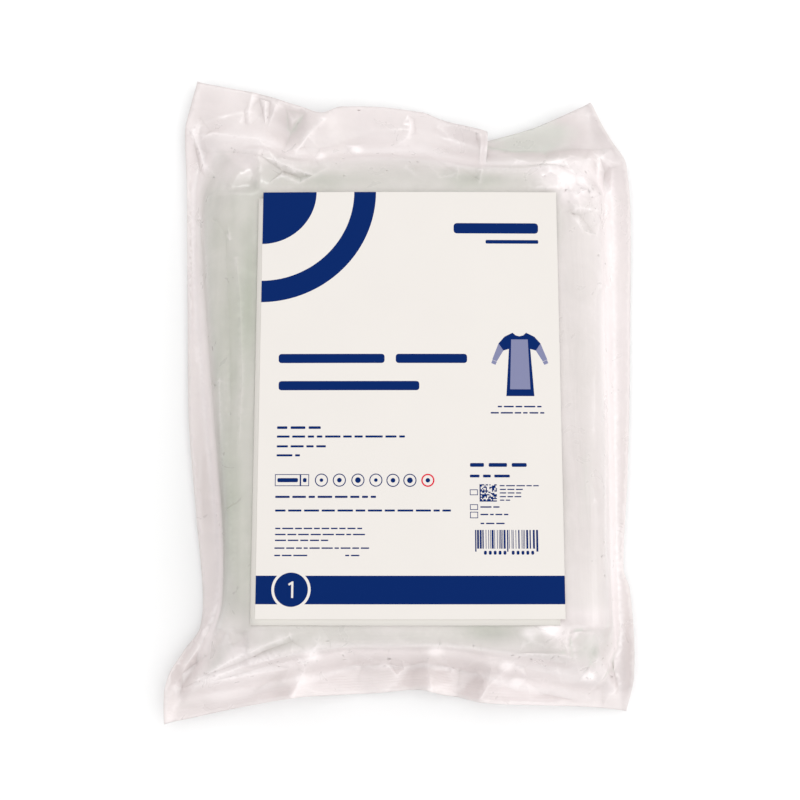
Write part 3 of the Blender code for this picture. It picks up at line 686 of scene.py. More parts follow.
def crumplePoints(rows, rough, folded):  # uneven points between the folds, where the film is rough
    onFolds = []
    for line in foldLines:
        for (ax, ay, _), (bx, by, _) in zip(line, line[1:]):
            onFolds += alongLine(ax, ay, bx, by, film["foldStep"])
    near = treeOf(onFolds)
    stray = film["crumpleStray"]
    points = []
    for row in rows:
        dice = random.Random(row.seed)
        columns, lines = (int(reach / step) for reach, step in zip(film["crumpleReach"], row[:2]))
        for i in range(-columns, columns + 1):
            for j in range(-lines, lines + 1):
                x = (i + dice.uniform(-stray, stray)) * row.across
                y = (j + 0.5 * (i % 2) + dice.uniform(-stray, stray)) * row.along
                lift = row.lift * dice.uniform(-1, 1)
                strength = float(spots(np.array([x]), np.array([y]), rough)[0])
                offFolds = near.find((x, y, 0))[2] > film["crumpleClear"] * row.across
                if strength > row.leastRough and offFolds and beyondCard(x, y) > 1:
                    points.append((x, y, lift * strength))
    at = np.array(points)
    lifts = folded.lift(at[:, 0], at[:, 1]) + at[:, 2]
    return list(zip(at[:, 0].tolist(), at[:, 1].tolist(), lifts.tolist()))


def makeRelief():
    points, edges = foldFacets()
    folded = Facets(points, edges)
    points = points + crumplePoints(film["crumples"], film["rough"], folded)
    points = points + crumplePoints(film["sideCrumples"], film["sideRough"], folded)
    return Facets(points, edges)


def outline():  # the pouch's cut edge, anticlockwise from the foot's left corner
    footStart, footEnd = pouch["footEdge"][0], pouch["rightEdge"][0]
    flapStart, flapEnd = pouch["headEdgeFlap"][-1], pouch["headEdgeFlap"][0]
    lobeStart, lobeEnd = pouch["headEdgeLobe"][-1], pouch["headEdgeLobe"][0]
    step = film["spacing"]
    foot = steps(footStart.x, footEnd.x, step)[:-1]
    right = steps(footEnd.y, flapStart.y, step)[:-1]
    flap = steps(flapStart.x, flapEnd.x, step)
    lobe = steps(lobeStart.x, lobeEnd.x, step)[:-1]
    left = steps(lobeEnd.y, footStart.y, step)[:-1]
    x = np.concatenate([foot, rightEdge(right), flap, lobe, leftEdge(left)])
    y = np.concatenate([footEdge(foot), right, headFlap(flap), headLobe(lobe), left])
    return list(zip(x.tolist(), y.tolist()))


def lattice(spacing, dice):  # even points over the pouch, slightly uneven
    reach = film["latticeReach"]
    rows = np.arange(-reach.y, reach.y, spacing * film["latticeRow"])
    y, x = np.meshgrid(rows, np.arange(-reach.x, reach.x, spacing), indexing="ij")
    x = x + spacing / 2 * (np.arange(len(x)) % 2)[:, None]
    x = x + dice.uniform(-1, 1, x.shape) * film["jitter"] * spacing
    y = y + dice.uniform(-1, 1, y.shape) * film["jitter"] * spacing
    kept = inPouch(x, y, film["edgeClear"] * film["spacing"])
    return x[kept], y[kept]


def filmPlan(relief):  # the film's points and faces in plan, with its creases as edges
    places = outline()
    bounds = [list(range(len(places)))]
    edges, bends = [], []

    def addLine(line, bend):
        edges.extend((len(places) + k, len(places) + k + 1) for k in range(len(line) - 1))
        bends.extend([bend] * (len(line) - 1))
        places.extend(line)

    lapX, foot = pouch["lapX"], pouch["rimHead"]
    for x, head in ((lapX - pouch["lapHalfWidth"], headLobe), (lapX + pouch["lapHalfWidth"], headFlap)):
        addLine([(x, y) for y in steps(foot, float(head(x)), film["spacing"])[:-1].tolist()], film["lapBend"])
    for (ax, ay, _), (bx, by, _), bend in relief.creases():
        x, y = np.array([ax, bx]), np.array([ay, by])
        sameSide = np.abs(x - lapX).min() > film["creaseOffLap"] and (ax - lapX) * (bx - lapX) > 0
        onFilm = inPouch(x, y, film["creaseOffEdge"]).all() and beyondCard(x, y).min() > film["creaseOffCard"]
        if onFilm and (sameSide or y.max() < foot):
            addLine(alongLine(ax, ay, bx, by, film["creaseStep"]), bend)
    near = treeOf(places)
    dice = np.random.default_rng(film["seed"])
    for zone, key in enumerate(("spacing", "besideSpacing", "steepSpacing", "cardSpacing")):
        x, y = lattice(film[key], dice)
        radius = slopeRadius(x, y)
        zones = np.where(radius > film["marginFrom"], 0, 1 + (radius > film["steepFrom"]))
        zones = np.where(beyondCard(x, y) < -film["cardInset"], 3, zones)
        offLap = (np.abs(x - lapX) > film["pointOffLap"]) | (y < foot)
        here = (zones == zone) & offLap
        places += [p for p in zip(x[here].tolist(), y[here].tolist())
                   if near.find((*p, 0))[2] > film["creaseClear"]]
    cut = delaunay_2d_cdt(places, edges, bounds, 1, film["mergeWithin"])
    at = np.array([(p[0], p[1]) for p in cut[0]])
    sharp = {(min(pair), max(pair)) for pair, owners in zip(cut[1], cut[4])
             if max([bends[k] for k in owners if k < len(bends)], default=0) > film["sharpBend"]}
    return at[:, 0], at[:, 1], cut[1], cut[2], sharp


def aboveNeighbours(values, edges):  # how far each value is above the average of those joined to it
    a, b = np.array(edges).T
    count = np.bincount(np.concatenate([a, b]), minlength=len(values))
    total = np.bincount(a, values[b], len(values)) + np.bincount(b, values[a], len(values))
    return values - total / np.maximum(count, 1)


def smoothed(values, edges, sharp):  # evens the values out between the sharp creases
    fixed = np.unique(np.array(list(sharp)))
    kept = values[fixed]
    for _ in range(film["smoothing"]):
        values = values - film["smoothShare"] * aboveNeighbours(values, edges)
        values[fixed] = kept
    return values - film["creaseEase"] * aboveNeighbours(values, edges)


def apart(x, y):  # 1 over the bundle, almost 0 where the films are sealed together
    return 1 - film["sealedShut"] * rising(np.max(outShares(x, y), axis=0), film["sealedBy"])


def filmHeight(x, y):  # the front film without its folds: it spans straight from the bundle to the margins
    radius = slopeRadius(x, y)
    reach = film["spanFoot"] + (film["spanHead"] - film["spanFoot"]) * ease(0.5 + y / film["spanBlend"])
    reach = reach + (film["spanBeside"] - reach) * besideShare(x, y)
    share = np.clip(1 - (radius - film["spanStart"]) / reach, 0, 1) * film["spanTop"]
    low = marginHeight(x, y)
    span = low + share * ease(1 - np.max(outShares(x, y), axis=0)) * (topHeight(x, y) - low)
    soft = ease((radius - film["spanSoftFrom"]) * film["spanSoftRise"])
    return softMax(frontHeight(x, y), span, film["spanTurn"] * soft * apart(x, y))


def gentleness(x, y):  # 1 where the film lies flat, near 0 where it stands almost upright
    step = film["slopeStep"]
    across = (filmHeight(x + step, y) - filmHeight(x - step, y)) / (2 * step)
    along = (filmHeight(x, y + step) - filmHeight(x, y - step)) / (2 * step)
    return 1 / (1 + film["steepFade"] * (across ** 2 + along ** 2))


def lapShift(x, y):  # the lobe is folded over the flap, so both run past the lap's line
    head = ease(outShares(x, y)[3] * film["lapGrowth"])
    away = np.abs(x - pouch["lapX"])
    over = film["lapOver"] * ease(1 - away / pouch["lapRun"])
    under = film["lapUnder"] * ease(1 - away / pouch["lapRun"])
    return np.where(x < pouch["lapX"], over, -under) * head


def putInScene(name, data):
    shown = bpy.data.objects.new(name, data)
    bpy.context.scene.collection.objects.link(shown)
    return shown


def sheetObject(name, points, faces, material, attributes=None, sharp=()):
    mesh = bpy.data.meshes.new(name)
    mesh.from_pydata((points * mm).tolist(), [], faces)
    for key, values in (attributes or {}).items():
        layer = mesh.attributes.new(key, "FLOAT", "POINT")
        layer.data.foreach_set("value", values.astype(np.float32))
    mesh.materials.append(material)
    mesh.shade_smooth()
    for edge in mesh.edges:
        edge.use_edge_sharp = tuple(sorted(edge.vertices)) in sharp
    return putInScene(name, mesh)


def giveWall(piece, wall, offset):
    solidify = piece.modifiers.new("Wall", "SOLIDIFY")
    solidify.thickness = wall * mm
    solidify.offset = offset
    return solidify


def sealBand(x, y):  # 1 in the crimped weld along the foot
    return rising(outShares(x, y)[2], film["sealBand"])


def makeFilms():
    relief = makeRelief()
    x, y, edges, faces, sharp = filmPlan(relief)
    print("scene: film plan made,", len(x), "points,", len(faces), "faces,", len(sharp), "sharp edges")
    radius = slopeRadius(x, y)
    shape = smoothed(relief.lift(x, y), edges, sharp) * ease(beyondCard(x, y) / film["cardFade"])
    give = film["topGive"] + (film["sideGive"] - film["topGive"]) * ease(radius * film["giveGrowth"])
    shape = softMax(shape, -give, film["settling"]) - softMax(0, -give, film["settling"])
    shape *= gentleness(x, y)
    backShape = marginHeight(x, y) + shape * rising(radius, film["marginRelief"])
    settled = softMax(backShape, film["leastClear"], film["settling"])
    back = film["seamDrop"] + rising(radius, film["backRise"]) * (settled - 2 * film["seamDrop"])
    front = filmHeight(x, y) + shape + film["seamRise"] - pouch["seamGap"]
    front += heightShare(x, y) * (film["topRise"] - film["seamRise"] + pouch["seamGap"])
    front = softMax(front, back + film["seamRise"] + film["seamDrop"], film["settling"] * apart(x, y))
    contact = contactShare(x, y) * rising(radius, film["contactEnd"])
    beside = besideShare(x, y)
    # painted highlight along the turn at the weld, on crests and at the listed spots; painted shade in
    # hollows and at the listed spots
    crest = aboveNeighbours(shape, edges) / film["crestStep"]
    ring = film["ring"] * ease(1 - np.abs(radius - film["ringAt"]) / film["ringReach"])
    ring *= film["ringAtEnds"] + (1 - film["ringAtEnds"]) * beside
    paintedHighlight = ring + spots(x, y, film["paintedHighlight"]) + film["crestMost"] * np.clip(crest, 0, 1)
    paintedShade = spots(x, y, film["paintedShade"]) + film["hollowMost"] * np.clip(-crest, 0, 1)
    marks = {"contact": contact, "paintedShade": np.clip(paintedShade, 0, 1), "paintedHighlight": np.clip(paintedHighlight, 0, 1),
             "seal": sealBand(x, y), "fromFoot": (y - footEdge(x)) * mm, "beside": beside}
    shifted = x + lapShift(x, y)
    points = np.stack([shifted, y, front], axis=-1)
    frontFilm = sheetObject("FrontFilm", points, faces, filmFinish("FilmFront"), marks, sharp)
    giveWall(frontFilm, film["wall"], 1)
    marks["contact"] = contact * 0
    points = np.stack([shifted, y, back], axis=-1)
    backFilm = sheetObject("BackFilm", points, faces, filmFinish("FilmBack"), marks, sharp)
    giveWall(backFilm, film["wall"], 0)
    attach(frontFilm, "root")
    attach(backFilm, "root")
    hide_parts("pouch_front")
    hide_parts("pouch_back")


class Wire:  # a node's output: arithmetic on it adds Math nodes
    def __init__(self, finish, socket):
        self.finish = finish
        self.socket = socket

    def math(self, operation, *values):
        return self.finish.node("ShaderNodeMath", {"operation": operation}, dict(enumerate(values)))

    def __add__(self, other):
        return self.math("ADD", self, other)

    def __sub__(self, other):
        return self.math("SUBTRACT", self, other)

    def __rsub__(self, other):
        return self.math("SUBTRACT", other, self)

    def __mul__(self, other):
        return self.math("MULTIPLY", self, other)

    __radd__ = __add__
    __rmul__ = __mul__

    def clamped(self):
        return self.finish.node("ShaderNodeClamp", {}, {"Value": self})

    def sine(self):
        return self.math("SINE", self)


class Tree:  # a node tree
    def __init__(self, owner):
        owner.use_nodes = True
        self.nodes = owner.node_tree.nodes
        self.links = owner.node_tree.links

    def node(self, kind, settings, inputs, output=0):
        made = self.nodes.new(kind)
        for key, value in settings.items():
            setattr(made, key, value)
        for key, value in inputs.items():
            self.feed(made.inputs[key], value)
        return Wire(self, made.outputs[output])

    def feed(self, socket, value):
        if isinstance(value, Wire):
            self.links.new(value.socket, socket)
        else:
            socket.default_value = value

    def dot(self, first, second):
        return self.node("ShaderNodeVectorMath", {"operation": "DOT_PRODUCT"}, {0: first, 1: second}, "Value")

    def mixColour(self, share, first, second):
        first, second = (side if isinstance(side, Wire) else (*side, 1.0) for side in (first, second))
        return self.node("ShaderNodeMix", {"data_type": "RGBA"}, {0: share, 6: first, 7: second}, 2)


class Finish(Tree):  # one material and the nodes that make it
    def __init__(self, name, colour, roughness):
        self.material = bpy.data.materials.new(name)
        super().__init__(self.material)
        self.shader = self.nodes["Principled BSDF"]
        self.set("Base Color", (*colour, 1.0))
        self.set("Roughness", roughness)

    def set(self, name, value):
        self.feed(self.shader.inputs[name], value)

    def place(self):
        return self.node("ShaderNodeTexCoord", {}, {}, "Object")

    def stretched(self, x, y, z):
        return self.node("ShaderNodeMapping", {}, {"Vector": self.place(), "Scale": (x, y, z)})

    def attribute(self, name):
        return self.node("ShaderNodeAttribute", {"attribute_name": name}, {}, "Fac")

    def noise(self, scale, detail=3.0, distortion=0.0, vector=None):
        inputs = {"Vector": vector or self.place(), "Scale": scale, "Detail": detail}
        inputs["Distortion"] = distortion
        return self.node("ShaderNodeTexNoise", {}, inputs, "Fac")

    def bump(self, height, distance=1.0):
        return self.node("ShaderNodeBump", {}, {"Height": height, "Distance": distance, "Strength": 1.0})


def filmFinish(name):
    look = {
        "colour": (0.82, 0.745, 0.75),
        "warm": (0.84, 0.775, 0.755),
        "olive": (0.57, 0.625, 0.50),
        # a shaded copy of the film's colour and a grey, both for painted shade
        "dusk": (0.715, 0.645, 0.635),
        "grey": (0.655, 0.65, 0.60),
        # the colour of painted highlights, and how much of it at most
        "highlight": (0.96, 0.90, 0.90),
        "highlightMost": 0.85,
        "oliveMost": 0.6,
        "roughness": 0.3,
        "alphaOff": 0.86,
        "alphaContact": 0.36,
        "alphaSeal": 0.1,
        "alphaHighlight": 0.2,
        "alphaUneven": 0.1,
        "wander": 1.6,
        "wanderEdge": 1.25,
        "duskGain": 1.6,
        "greyGain": 2.5,
        "greyFrom": 1.5,
        "roughUneven": 0.16,
        "streakNoise": (60.0, 4.0, 1.2),
        "foldNoise": (130.0, 3.0, 0.3),
        "foldStretch": ((1.0, 0.1, 1.0), (0.1, 1.0, 1.0)),  # upright beside the card, level beyond its ends
        "cloudNoise": (40.0, 3.0, 0.3),
        "cloudShare": 0.6,
        "warmNoise": (22.0, 3.0, 0.4),
        "fineNoise": (420.0, 3.0, 0.6),
        "streakDepth": 0.0005,
        "ribPitch": 1.35,
        "ribDepth": 0.00002,
        "fineDepth": 0.00002,
        "IOR": 1.6,
        "Specular IOR Level": 1.0,
        "Coat Weight": 0.4,
        "Coat Roughness": 0.12,
    }
    finish = Finish(name, look["colour"], look["roughness"])
    streak = finish.noise(*look["streakNoise"])
    upright, level = (finish.noise(*look["foldNoise"], finish.stretched(*way)) for way in look["foldStretch"])
    streaks = level + (upright - level) * finish.attribute("beside")
    clouds, share = finish.noise(*look["cloudNoise"]), look["cloudShare"]
    wander = (share * clouds + (1 - share) * streaks - 0.5) * look["wander"]

    def wandering(name):  # a mark on the film, with an uneven edge
        mark = finish.attribute(name)
        return (mark + wander * mark * (look["wanderEdge"] - mark)).clamped()

    # painted shade darkens the film toward its shaded copy and grey; painted highlights whiten it and make it
    # more opaque
    contact, paintedShade, seal = wandering("contact"), wandering("paintedShade"), finish.attribute("seal")
    highlight = wandering("paintedHighlight") * look["highlightMost"]
    dusk = (paintedShade * look["duskGain"]).clamped()
    grey = (paintedShade * look["greyGain"] - look["greyFrom"]).clamped()
    plain = finish.mixColour(finish.noise(*look["warmNoise"]), look["colour"], look["warm"])
    plain = finish.mixColour(grey, finish.mixColour(dusk, plain, look["dusk"]), look["grey"])
    plain = finish.mixColour(contact * look["oliveMost"], plain, look["olive"])
    finish.set("Base Color", finish.mixColour(highlight, plain, look["highlight"]))
    finish.set("Roughness", look["roughness"] + look["roughUneven"] * (streak - 0.5))
    alpha = look["alphaOff"] + (look["alphaContact"] - look["alphaOff"]) * contact
    alpha = alpha + look["alphaSeal"] * seal + look["alphaHighlight"] * highlight
    finish.set("Alpha", (alpha + look["alphaUneven"] * (streak - 0.5)).clamped())
    ribs = (finish.attribute("fromFoot") * (2 * math.pi / (look["ribPitch"] * mm))).sine()
    fine = finish.noise(*look["fineNoise"])
    relief = fine * look["fineDepth"] + seal * ribs * look["ribDepth"] + streaks * look["streakDepth"]
    finish.set("Normal", finish.bump(relief))
    for key in ("IOR", "Specular IOR Level", "Coat Weight", "Coat Roughness"):
        finish.set(key, look[key])
    return finish.material


bundle = {
    "seed": 5,
    "layers": 6,
    "groove": 1.8,
    "bulge": (0.12, 0.3, 0.5, 0.7, 0.88),
    "bulgeShare": 0.6,
    "inset": 2.0,
    "footY": -127.0,
    "headY": 118.5,
    "corner": 14.0,
    "cornerGrowth": 30.0,
    "clearance": 0.4,
    "sideCells": 70,
    "endCells": 54,
    "cornerCells": 14,
    "topRings": (0.96, 0.9, 0.8, 0.66, 0.5, 0.34, 0.18, 0.07),
    "unevenness": 0.9,
    "unevenReach": 110.0,
    "waves": 3,
    "waveCounts": (2, 9),
}


def bundleOutline(inward, groove):
    inset = bundle["inset"] + groove
    rounding = bundle["corner"] + (1 - inward) * bundle["cornerGrowth"]
    foot = bundle["footY"] + inset + inward * (pouch["rimFoot"] - bundle["footY"])
    head = bundle["headY"] - inset - inward * (bundle["headY"] - pouch["rimHead"])

    def left(y):
        return leftWeld(y) + inset + inward * (pouch["rimLeft"] - leftWeld(y))

    def right(y):
        return rightWeld(y) - inset - inward * (rightWeld(y) - pouch["rimRight"])

    low, high = foot + rounding, head - rounding
    up = np.linspace(low, high, bundle["sideCells"] + 1)
    turn = np.linspace(0, math.pi / 2, bundle["cornerCells"] + 1)[1:-1]
    headRun = np.linspace(right(high) - rounding, left(high) + rounding, bundle["endCells"] + 1)
    footRun = np.linspace(left(low) + rounding, right(low) - rounding, bundle["endCells"] + 1)
    x = np.concatenate([
        right(up), right(high) - rounding * (1 - np.cos(turn)), headRun,
        left(high) + rounding * (1 - np.sin(turn)), left(up[::-1]),
        left(low) + rounding * (1 - np.cos(turn)), footRun,
        right(low) - rounding * (1 - np.sin(turn)),
    ])
    y = np.concatenate([
        up, high + rounding * np.sin(turn), np.full(len(headRun), head),
        high + rounding * np.cos(turn), up[::-1],
        low - rounding * np.sin(turn), np.full(len(footRun), foot),
        low - rounding * np.cos(turn),
    ])
    return x, y


def bundleSections():
    for layer in range(bundle["layers"]):
        yield layer, layer / bundle["layers"], bundle["groove"]
        for share in bundle["bulge"]:
            groove = bundle["groove"] * (2 * share - 1) ** 2 * bundle["bulgeShare"]
            yield layer, (layer + share) / bundle["layers"], groove
    yield bundle["layers"] - 1, 1.0, 0.0


def aboutCentre(x, y, scale):
    return card["centreX"] + scale * (x - card["centreX"]), card["centreY"] + scale * (y - card["centreY"])


def makeBundle():
    dice = random.Random(bundle["seed"])
    waves = [[(dice.uniform(0, 6.3), dice.randint(*bundle["waveCounts"])) for _ in range(bundle["waves"])]
             for _ in range(bundle["layers"])]
    bm = bmesh.new()
    rings = []

    def addRing(x, y, share):  # a ring at this share of the height under the front film
        base = pouch["wall"] + pouch["seamGap"]
        z = base + share * (topHeight(x, y) - bundle["clearance"] - base)
        rings.append([bm.verts.new(point) for point in np.stack([x, y, z], axis=-1) * mm])

    for layer, share, groove in bundleSections():
        x, y = bundleOutline(climbedAt(share), groove)
        turn = np.linspace(0, 2 * math.pi, len(x), endpoint=False)
        uneven = sum(np.sin(turn * count + phase) for phase, count in waves[layer]) / bundle["waves"]
        pull = 1 - (0.5 + 0.5 * uneven) * bundle["unevenness"] / bundle["unevenReach"]
        x, y = aboutCentre(x, y, pull)
        addRing(x, y, share)
    for scale in bundle["topRings"]:
        addRing(*aboutCentre(x, y, scale), 1.0)
    for lower, upper in zip(rings, rings[1:]):
        for i, vert in enumerate(lower):
            bm.faces.new((vert, lower[(i + 1) % len(lower)], upper[(i + 1) % len(upper)], upper[i]))
    bm.faces.new(rings[0][::-1])
    bm.faces.new(rings[-1])
    mesh = bpy.data.meshes.new("GownBundle")
    bm.to_mesh(mesh)
    bm.free()
    mesh.materials.append(clothFinish())
    mesh.shade_smooth()
    piece = putInScene("GownBundle", mesh)
    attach(piece, "root")
    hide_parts("gown_bundle")


def clothFinish():
    look = {
        "colour": (0.25, 0.33, 0.18),
        "pale": (0.33, 0.41, 0.25),
        "cloudNoise": (18.0, 4.0, 0.5),
        "roughness": 0.85,
        "roughLeast": 0.78,
        "roughUneven": 0.14,
        "bondsPerMetre": 620.0,
        "bondRandomness": 0.15,
        "bondDepth": 0.00018,
        "fibreNoise": (900.0, 4.0, 0.3),
        "fibreDepth": 0.00008,
    }
    finish = Finish("WrapCloth", look["colour"], look["roughness"])
    clouds = finish.noise(*look["cloudNoise"])
    finish.set("Base Color", finish.mixColour(clouds, look["colour"], look["pale"]))
    inputs = {"Vector": finish.place(), "Scale": look["bondsPerMetre"], "Randomness": look["bondRandomness"]}
    bonds = finish.node("ShaderNodeTexVoronoi", {"feature": "F1"}, inputs)
    fibre = finish.noise(*look["fibreNoise"])
    finish.set("Normal", finish.bump(bonds * look["bondDepth"] + fibre * look["fibreDepth"]))
    finish.set("Roughness", look["roughLeast"] + look["roughUneven"] * fibre)
    return finish.material


def paperFinish(name, colour):
    look = {
        "darker": 0.97,
        "cloudsPerMetre": 35.0,
        "roughness": 0.5,
        "roughLeast": 0.46,
        "roughUneven": 0.1,
        "fibresPerMetre": 1500.0,
        "fibreDepth": 0.00001,
        "shine": 0.05,
    }
    finish = Finish(name, colour, look["roughness"])
    darker = tuple(channel * look["darker"] for channel in colour)
    clouds = finish.noise(look["cloudsPerMetre"])
    finish.set("Base Color", finish.mixColour(clouds, colour, darker))
    fibre = finish.noise(look["fibresPerMetre"])
    finish.set("Roughness", look["roughLeast"] + look["roughUneven"] * fibre)
    finish.set("Normal", finish.bump(fibre, look["fibreDepth"]))
    finish.set("Specular IOR Level", look["shine"])
    return finish.material


design = {
    "paper": (0.755, 0.72, 0.684),
    "backing": (0.735, 0.705, 0.66),
    "navy": (0.0, 0.017, 0.122),
    "lilac": (0.217, 0.227, 0.368),
    "red": (0.66, 0.012, 0.04),
    "seed": 3,
    "band": (7.0, 20.5),
    "discCentre": (17.0, 13.9),
    "discRadius": 8.1,
    "discRing": 9.4,
    "numeral": ((0.1, -3.9), (1.1, -3.9), (1.1, 3.9), (0.4, 3.9), (-1.4, 2.7), (-1.0, 1.9), (0.1, 2.5)),
    "motifDisc": 27.0,
    "motifRing": (46.0, 57.0),
    "nameBars": ((96.0, 138.5, 193.0, 5.4), (112.0, 138.5, 186.0, 1.9)),  # left, right, middle, height
    "title": ((9.2, 61.5, 126.4, 4.6), (67.0, 102.2, 126.4, 4.6), (9.4, 78.6, 112.8, 4.6)),
    "lines": (
        # left, right, middle, height
        (9.0, 30.4, 92.0, 2.1), (9.0, 71.5, 87.6, 1.7), (9.0, 33.0, 82.8, 1.7), (9.0, 20.4, 78.4, 1.7),
        (8.7, 57.5, 58.2, 1.7), (8.7, 93.7, 51.6, 1.6), (8.9, 50.9, 43.0, 1.1), (8.9, 52.3, 40.1, 1.1),
        (8.9, 34.6, 37.3, 1.1), (8.7, 54.3, 33.6, 1.1), (8.7, 24.6, 30.1, 1.1), (42.8, 51.4, 30.1, 1.1),
        (117.0, 138.5, 102.4, 1.2), (113.5, 141.9, 99.3, 1.2), (103.1, 130.7, 73.7, 3.0),
        (103.0, 122.4, 68.3, 2.2), (117.4, 136.4, 63.6, 0.9), (117.4, 128.6, 61.8, 0.9),
        (117.4, 127.8, 60.1, 0.9), (117.4, 127.8, 58.3, 0.9), (117.4, 122.4, 56.6, 0.9),
        (107.9, 117.2, 53.3, 1.1), (107.9, 121.4, 49.7, 1.1), (107.9, 121.4, 45.4, 1.1),
    ),
    "boxes": ((8.4, 20.8, 63.4, 69.2), (20.8, 25.0, 63.4, 69.2), (102.9, 106.8, 59.0, 61.8),
              (102.9, 106.8, 51.9, 54.6), (102.9, 106.8, 47.9, 51.0)),
    "boxLine": 0.35,
    "boxBar": (1.2, 2.0),  # inset, height
    "rings": ((31.0, 66.3), (39.7, 66.3), (48.7, 66.3), (57.4, 66.3), (65.7, 66.2), (73.9, 66.2)),
    "redRing": (82.6, 66.2),
    "ringRadius": (3.2, 2.7),
    "ringDots": (0.9, 1.15, 1.4),
    "redRadius": (3.2, 2.5, 1.1),
    "gownMiddle": 128.2,
    "gownNeck": 137.6,
    "gownBody": (
        (6.9, 107.6), (5.3, 131.2), (8.0, 130.4), (10.4, 134.0), (7.4, 137.4), (3.4, 139.4), (1.9, 138.1),
    ),
    "gownPanel": ((5.0, 111.0), (4.1, 136.0)),
    "gownSleeve": ((8.0, 130.4), (10.4, 134.0), (13.6, 125.9), (11.4, 124.9)),
    "gownCuff": ((11.3, 124.7), (13.5, 125.7), (14.1, 124.1), (12.1, 123.2)),
    "squareCode": (107.6, 55.9, 14, 0.6),  # left, foot, modules, module size
    "barCode": (105.2, 33.3, 42.3, 95, 0.32),  # left, foot, head, modules, module width
    "barGuard": 1.4,  # how far the guard bars reach down
    "barDigits": (31.4, 1.9, 4.2, 2.35, 1.4, 1.6),  # middle, height, start, pitch, width, gap halfway
    "wordLength": (1.6, 5.0),  # as shares of the line's height
    "wordHeight": 0.62,
    "wordGap": 0.75,
}


def rectangle(left, right, foot, head):
    return [(left, foot), (right, foot), (right, head), (left, head)]


def bar(left, right, middle, height, corners=4):  # a bar with round corners
    radius = min(height * 0.3, (right - left) / 2)
    low, high = middle - height / 2 + radius, middle + height / 2 - radius
    places = ((right - radius, high), (left + radius, high), (left + radius, low), (right - radius, low))
    shape = []
    for quarterTurn, (cornerX, cornerY) in enumerate(places):
        for step in range(corners):
            angle = math.radians(90 * quarterTurn + 90 * step / (corners - 1))
            shape.append((cornerX + radius * math.cos(angle), cornerY + radius * math.sin(angle)))
    return shape


def disc(centre, radius, count=48):
    angles = [2 * math.pi * step / count for step in range(count)]
    return [(centre[0] + radius * math.cos(a), centre[1] + radius * math.sin(a)) for a in angles]


def quarter(radius, count=36):  # a quarter disc at the card's head left corner
    angles = [-math.pi / 2 * step / count for step in range(count + 1)]
    arc = [(radius * math.cos(a), card["length"] + radius * math.sin(a)) for a in angles]
    return [(0.0, card["length"])] + arc[::-1]


def words(left, right, middle, height, dice):  # a line of bars as long as words
    at, (shortest, longest) = left, design["wordLength"]
    while at < right - height:
        end = min(at + dice.uniform(shortest, longest) * height, right)
        if right - end < shortest * height:
            end = right
        yield bar(at, end, middle, height * design["wordHeight"])
        at = end + design["wordGap"] * height


def mirrored(points, middle, side):
    return [(middle + side * dx, v) for dx, v in points]


def printShapes():
    dice = random.Random(design["seed"])
    paper, navy, lilac, red = range(4)
    shapes = [
        (quarter(design["motifRing"][1]), navy), (quarter(design["motifRing"][0]), paper),
        (quarter(design["motifDisc"]), navy),
        (rectangle(0, card["width"], *design["band"]), navy),
        (disc(design["discCentre"], design["discRing"], 64), paper),
        (disc(design["discCentre"], design["discRadius"], 64), navy),
    ]
    u, v = design["discCentre"]
    shapes.append(([(u + dx, v + dy) for dx, dy in design["numeral"]], paper))
    shapes += [(bar(*row), navy) for row in design["nameBars"] + design["title"]]
    for row in design["lines"]:
        shapes += [(word, navy) for word in words(*row, dice)]
    line, (inset, height) = design["boxLine"], design["boxBar"]
    for left, right, foot, head in design["boxes"]:
        shapes.append((rectangle(left, right, foot, head), navy))
        shapes.append((rectangle(left + line, right - line, foot + line, head - line), paper))
    for left, right, foot, head in design["boxes"][:2]:
        shapes.append((bar(left + inset, right - inset, (foot + head) / 2, height), navy))
    rings = [(centre, *design["ringRadius"], design["ringDots"][k % 3], navy)
             for k, centre in enumerate(design["rings"])]
    for centre, outer, inner, dot, ink in rings + [(design["redRing"], *design["redRadius"], red)]:
        shapes += [(disc(centre, outer, 32), ink), (disc(centre, inner, 32), paper)]
        shapes.append((disc(centre, dot, 16), navy))
    shapes += gownFigure(navy, lilac)
    left, foot, count, size = design["squareCode"]
    for i in range(count):
        for j in range(count):
            if i == 0 or j == 0 or dice.random() < 0.5:
                u, v = left + i * size, foot + j * size
                shapes.append((rectangle(u, left + (i + 1) * size, v, foot + (j + 1) * size), navy))
    shapes += barCode(navy, dice)
    return shapes


def gownFigure(navy, lilac):
    middle = design["gownMiddle"]
    body = mirrored(design["gownBody"], middle, 1) + [(middle, design["gownNeck"])]
    body += mirrored(design["gownBody"][::-1], middle, -1)
    shapes = [(body, navy)]
    for side in (-1, 1):
        shapes += [(mirrored(design[key], middle, side), lilac) for key in ("gownCuff", "gownSleeve")]
    panel = mirrored(design["gownPanel"], middle, 1) + mirrored(design["gownPanel"][::-1], middle, -1)
    shapes.append((panel, lilac))
    return shapes


def barCode(navy, dice):
    left, foot, head, modules, width = design["barCode"]
    shapes = []
    at = 0
    while at < modules:
        bars = dice.choice((1, 1, 2, 3))
        guard = at < 3 or at > modules - 5 or abs(at - modules / 2) < 2
        low = foot - design["barGuard"] if guard else foot
        shapes.append((rectangle(left + at * width, left + (at + bars) * width, low, head), navy))
        at += bars + dice.choice((1, 1, 2, 2, 3))
    middle, height, start, pitch, width, gap = design["barDigits"]
    for k in range(10):
        u = left + start + pitch * k + (gap if k > 4 else 0)
        shapes.append((bar(u, u + width, middle, height), navy))
    return shapes


def leafHeight(x, y):
    return topHeight(x, y) + pouch["wall"] + card["faceAboveFilm"]


